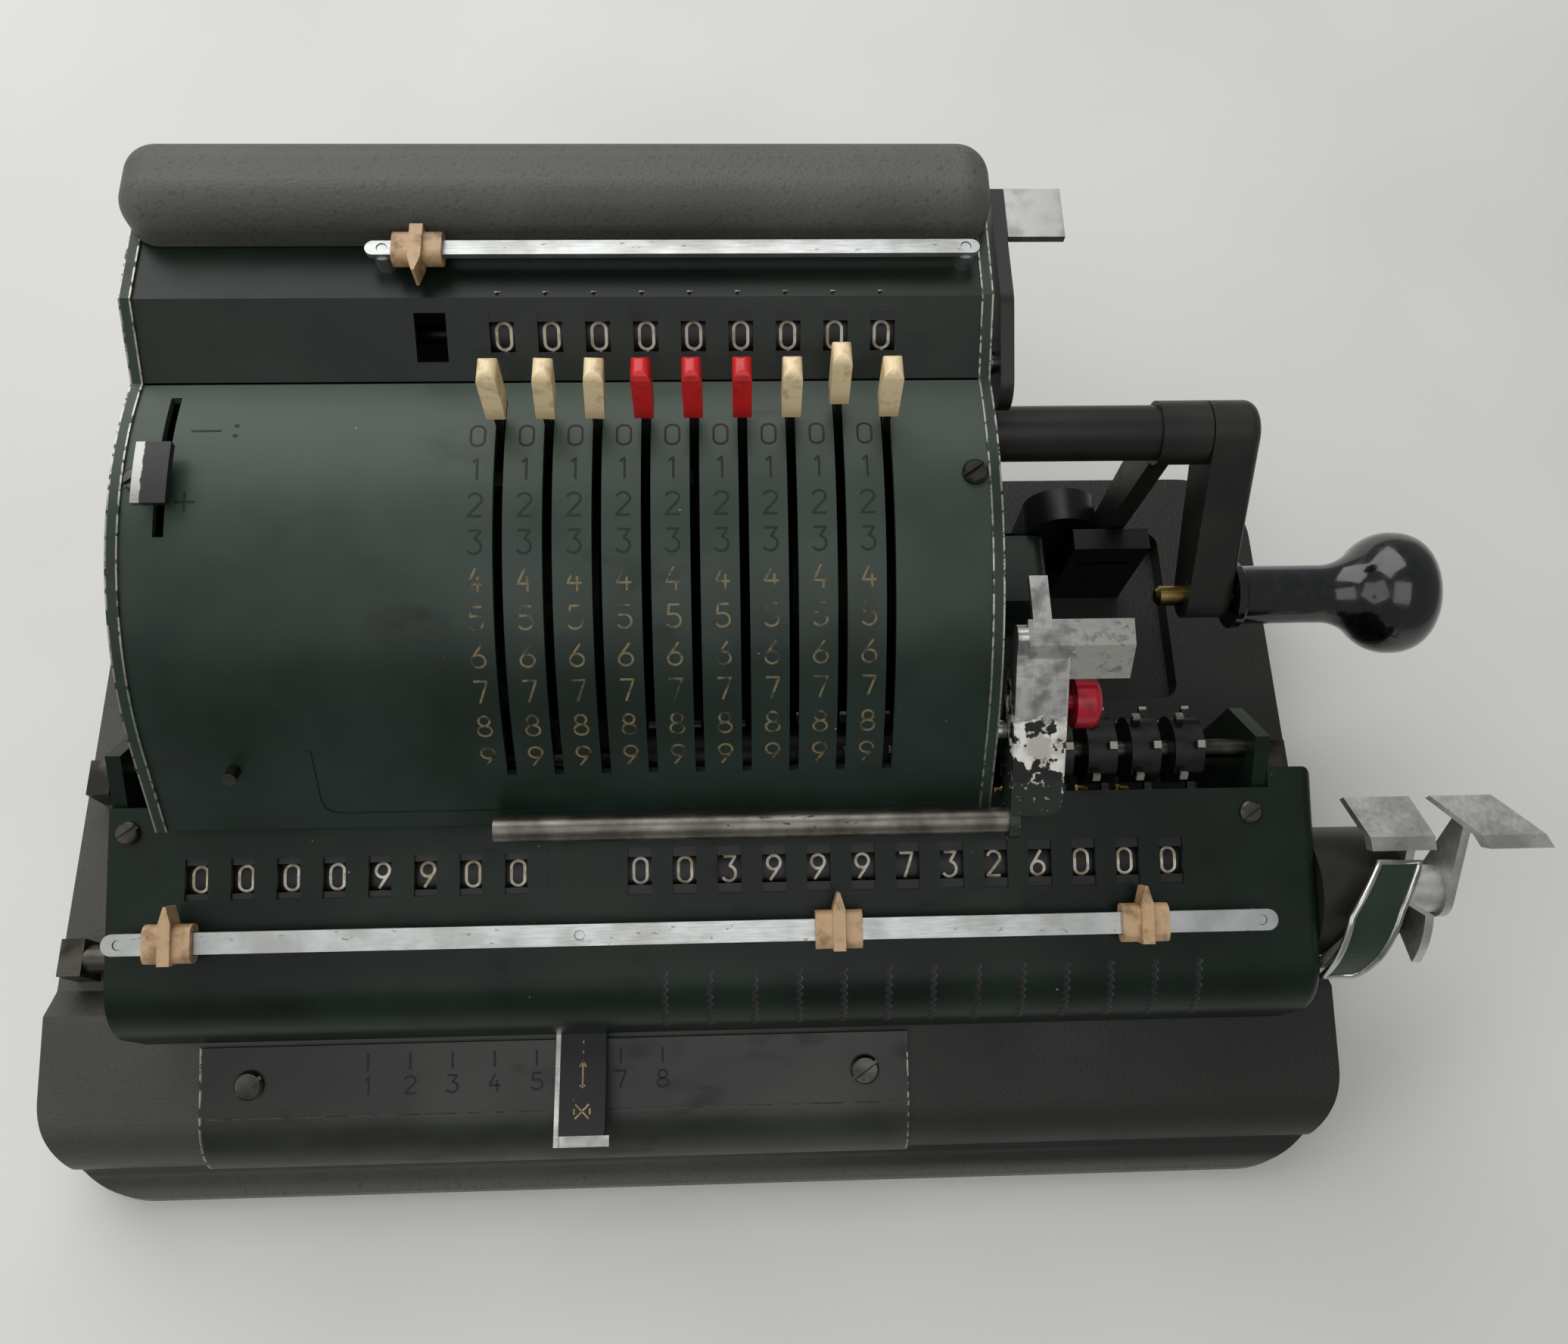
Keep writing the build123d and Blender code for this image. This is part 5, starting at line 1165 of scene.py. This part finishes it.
@dataclass
class Carriage(Assembly):
    """Sliding carriage with its ends, its front marks and its shift key."""

    def build(self) -> None:
        """Finish the carriage."""
        look = self.finishes
        self.dress(look.carriage, "carriage_cover", "carriage_right_end", "carriage_left_end")
        self.dress(look.steel, "carriage_screws")
        self.dress(look.dark, "clearing_drum")
        self.dress(look.black, "shift_key")
        self.dress(look.chrome, "shift_key_bar")
        self.dress(look.tab, "result_clear_lever", "counter_clear_lever")
        self.front_marks()
        self.key_marks()
        self.clearing_wing()

    def front_marks(self) -> None:
        """Lay the rough notches between the places on the carriage's rounded front, each with a pale painted
        highlight stroke beside it.
        """
        strokes, edges = StrokeMesh(), StrokeMesh()
        for index in range(13):
            x = RESULT_FIRST_X + (index + 0.5) * PITCH
            points = [((0.4 if k % 2 else -0.4) * MM, (k - 9) * 0.85 * MM) for k in range(19)]
            surface = drum_surface(x, 135.0, (-42.5 * MM, 48.43 * MM), 12.0 * MM)
            strokes.stroke(points, 0.7 * MM, surface, 0.04 * MM, 0.2 * MM)
            # Painted highlight: a thin pale stroke 0.42 mm to the right of each notch.
            worn = drum_surface(x + 0.42 * MM, 135.0, (-42.5 * MM, 48.43 * MM), 12.0 * MM)
            edges.stroke(points, 0.3 * MM, worn, 0.02 * MM, 0.2 * MM)
        strokes.piece("front_notches", self.finishes.dark_figures, "carriage", "green_paint")
        edges.piece("front_notch_highlights", self.finishes.notch_highlight, "carriage", "green_paint")
        lines = StrokeMesh()
        for x in (-31.7, -29.2):
            y = -26.6
            z = (68.9 + (y + 11.5) * math.tan(math.radians(CARRIAGE_SLOPE))) * MM
            surface = plane_surface((x * MM, y * MM, z), CARRIAGE_SLOPE)
            lines.stroke([(0.0, -6.5 * MM), (0.0, 6.5 * MM)], 0.35 * MM, surface, 0.03 * MM, 0.2 * MM)
        lines.piece("register_divider", self.finishes.dark_figures, "carriage", "green_paint")

    def clearing_wing(self) -> None:
        """Add the curved finger wing of the result-clearing lever: painted face, bright rolled rim."""
        left = ((84.0, 137.3), (116.0, 130.8), (166.0, 128.3))
        right = ((84.0, 145.6), (112.0, 140.9), (146.0, 137.8), (162.0, 135.6), (166.0, 134.4))
        rows = [84.0 + 82.0 * k / 20 for k in range(21)]
        edges = [(interpolate(left, a) * MM, interpolate(right, a) * MM, a) for a in rows]
        face = StrokeMesh()
        for low, high, angle in edges:
            for x, reach in ((low, 18.0), (high, 18.0), (high, 19.0), (low, 19.0)):
                face.verts.append(round_point(x, angle, CLEARING_AXIS, reach * MM))
        for k in range(len(edges) - 1):
            face.faces += [(4 * k + c, 4 * k + (c + 1) % 4, 4 * k + 4 + (c + 1) % 4, 4 * k + 4 + c) for c in range(4)]
        last = 4 * (len(edges) - 1)
        face.faces += [(3, 2, 1, 0), (last, last + 1, last + 2, last + 3)]
        face.piece("clearing_wing_face", self.finishes.green, "result_clear", "green_paint")
        ring = [(low, angle) for low, _, angle in edges] + [(high, angle) for _, high, angle in reversed(edges)]
        points = [round_point(x, angle, CLEARING_AXIS, 18.8 * MM) for x, angle in ring]
        rim = round_rod("clearing_wing_rim", points, 0.75 * MM, closed=True)
        rim.data.materials.append(self.finishes.chrome)
        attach(rim, "result_clear")
        LOG.info("added %s with %d points", rim.name, len(points))

    def key_marks(self) -> None:
        """Lay the shift marks on the key."""
        strokes = StrokeMesh()
        for glyph, y, size in (("|", -56.2, (0.5, 0.6)), ("|", -58.2, (0.5, 0.6)), ("^", -62.8, (2.4, 5.4)),
                               ("x", -70.2, (2.4, 4.8))):
            surface = plane_surface((-24.4 * MM, y * MM, 37.5 * MM), 0.0)
            strokes.sign(glyph, (size[0] * MM, size[1] * MM), 0.32 * MM, surface)
        strokes.piece("key_marks", self.finishes.gold_figures, "key", "black_paint")


@dataclass
class DecimalBars(Assembly):
    """Two decimal bars and the moulded markers that slide on them."""

    def build(self) -> None:
        """Finish the bars and markers."""
        look = self.finishes
        self.dress(look.bar, "upper_decimal_bar", "lower_decimal_bar")
        self.dress(look.tan, "upper_decimal_marker", *(f"lower_decimal_marker_{k}" for k in (1, 2, 3)))


@dataclass
class SettingDrum(Assembly):
    """Nine setting levers, the sign lever and the pin discs behind them."""

    red: Tuple[int, ...] = (4, 5, 6)

    def build(self) -> None:
        """Finish the levers and the works of the drum."""
        look = self.finishes
        for index in range(1, LEVER_COUNT + 1):
            self.dress(look.red_lever if index in self.red else look.ivory_lever, f"setting_lever_{index}")
        self.dress(look.sign_tab, "sign_lever")
        self.dress(look.dark_steel, "pinwheel_shaft", "pinwheels", "idler_gear", "crank_shaft")


@dataclass
class SideWorks(Assembly):
    """Crank, its bearings and the works to the right of the body."""

    def build(self) -> None:
        """Finish the crank and its neighbours."""
        look = self.finishes
        self.dress(look.dark, "crank_bearing", "outboard_bracket", "crank_arm")
        self.dress(look.black, "stop_block", "drive_housing")
        self.dress(look.bracket, "gear_bracket")
        self.dress(look.brass, "crank_spindle")
        self.dress(look.grip, "crank_grip")


@dataclass
class HandLevers(Assembly):
    """Clearing lever, back-transfer lever with its rod, and the red knob."""

    def build(self) -> None:
        """Finish the levers."""
        look = self.finishes
        self.dress(look.clear_lever, "setting_clear_lever")
        self.dress(look.strip, "back_transfer_lever")
        self.dress(look.rod, "back_transfer_rod")
        self.dress(look.red, "red_knob")


# ---------------------------------------------------------------- stage
@dataclass(frozen=True)
class Studio:
    """Camera, soft lights and floor."""

    place: Point = (0.00923, -0.0776, 0.3222)
    yaw: float = -6.11
    pitch: float = 69.76
    roll: float = -4.87
    lens: float = 29.54

    def build(self) -> None:
        """Set up the whole studio."""
        self.camera()
        self.floor()
        self.light("key_light", (-0.35, 0.90, 0.95), 1.3, 12.0, (0.0, 0.0, 0.05))
        self.light("top_light", (-0.05, -0.45, 1.15), 0.9, 3.4, (0.0, 0.0, 0.05))
        self.light("side_light", (-1.0, -0.2, 0.7), 0.8, 2.4, (0.0, 0.0, 0.05))
        world = bpy.data.worlds.new("studio_world")
        world.use_nodes = True
        world.node_tree.nodes["Background"].inputs["Color"].default_value = linear("#e8ebec")
        world.node_tree.nodes["Background"].inputs["Strength"].default_value = 0.30
        bpy.context.scene.world = world
        bpy.context.scene.view_settings.view_transform = "Standard"

    def camera(self) -> None:
        """Put the camera where the photograph was taken from."""
        yaw, pitch, roll = (math.radians(a) for a in (self.yaw, self.pitch, self.roll))
        ahead = Vector((-math.sin(yaw) * math.cos(pitch), math.cos(yaw) * math.cos(pitch), -math.sin(pitch)))
        right = Vector((math.cos(yaw), math.sin(yaw), 0.0))
        down = ahead.cross(right)
        right, down = (math.cos(roll) * right + math.sin(roll) * down,
                       math.cos(roll) * down - math.sin(roll) * right)
        data = bpy.data.cameras.new("camera")
        data.lens = self.lens
        data.sensor_width = 36.0
        data.clip_start = 0.01
        camera = bpy.data.objects.new("camera", data)
        turned = Matrix((right, -down, -ahead)).transposed()
        camera.matrix_world = Matrix.Translation(self.place) @ turned.to_4x4()
        bpy.context.collection.objects.link(camera)
        bpy.context.scene.camera = camera

    def floor(self) -> None:
        """Lay the plain pale floor."""
        mesh = bpy.data.meshes.new("floor")
        reach = 3.0
        mesh.from_pydata([(-reach, -reach, 0), (reach, -reach, 0), (reach, reach, 0), (-reach, reach, 0)],
                         [], [(0, 1, 2, 3)])
        mesh.materials.append(Floor().material())
        floor = bpy.data.objects.new("floor", mesh)
        bpy.context.collection.objects.link(floor)

    def light(self, name: str, place: Point, size: float, power: float, aim: Point) -> None:
        """Hang a soft square light.

        Args:
            name: Light name.
            place: Where it hangs.
            size: Side of the square in metres.
            power: Power in watts.
            aim: Point that it faces.
        """
        data = bpy.data.lights.new(name, "AREA")
        data.size = size
        data.energy = power
        lamp = bpy.data.objects.new(name, data)
        lamp.location = place
        lamp.rotation_euler = (Vector(aim) - Vector(place)).to_track_quat("-Z", "Y").to_euler()
        bpy.context.collection.objects.link(lamp)


def main() -> None:
    """Load the frame, dress every sub-assembly and set up the studio."""
    logging.basicConfig(level=logging.INFO, format="%(name)s: %(message)s")
    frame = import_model()
    finishes = Finishes()
    for kind in (Base, Body, Registers, Carriage, DecimalBars, SettingDrum, SideWorks, HandLevers):
        kind(finishes, frame["nodes"]).build()
    Studio().build()


if __name__ == "__main__":
    main()
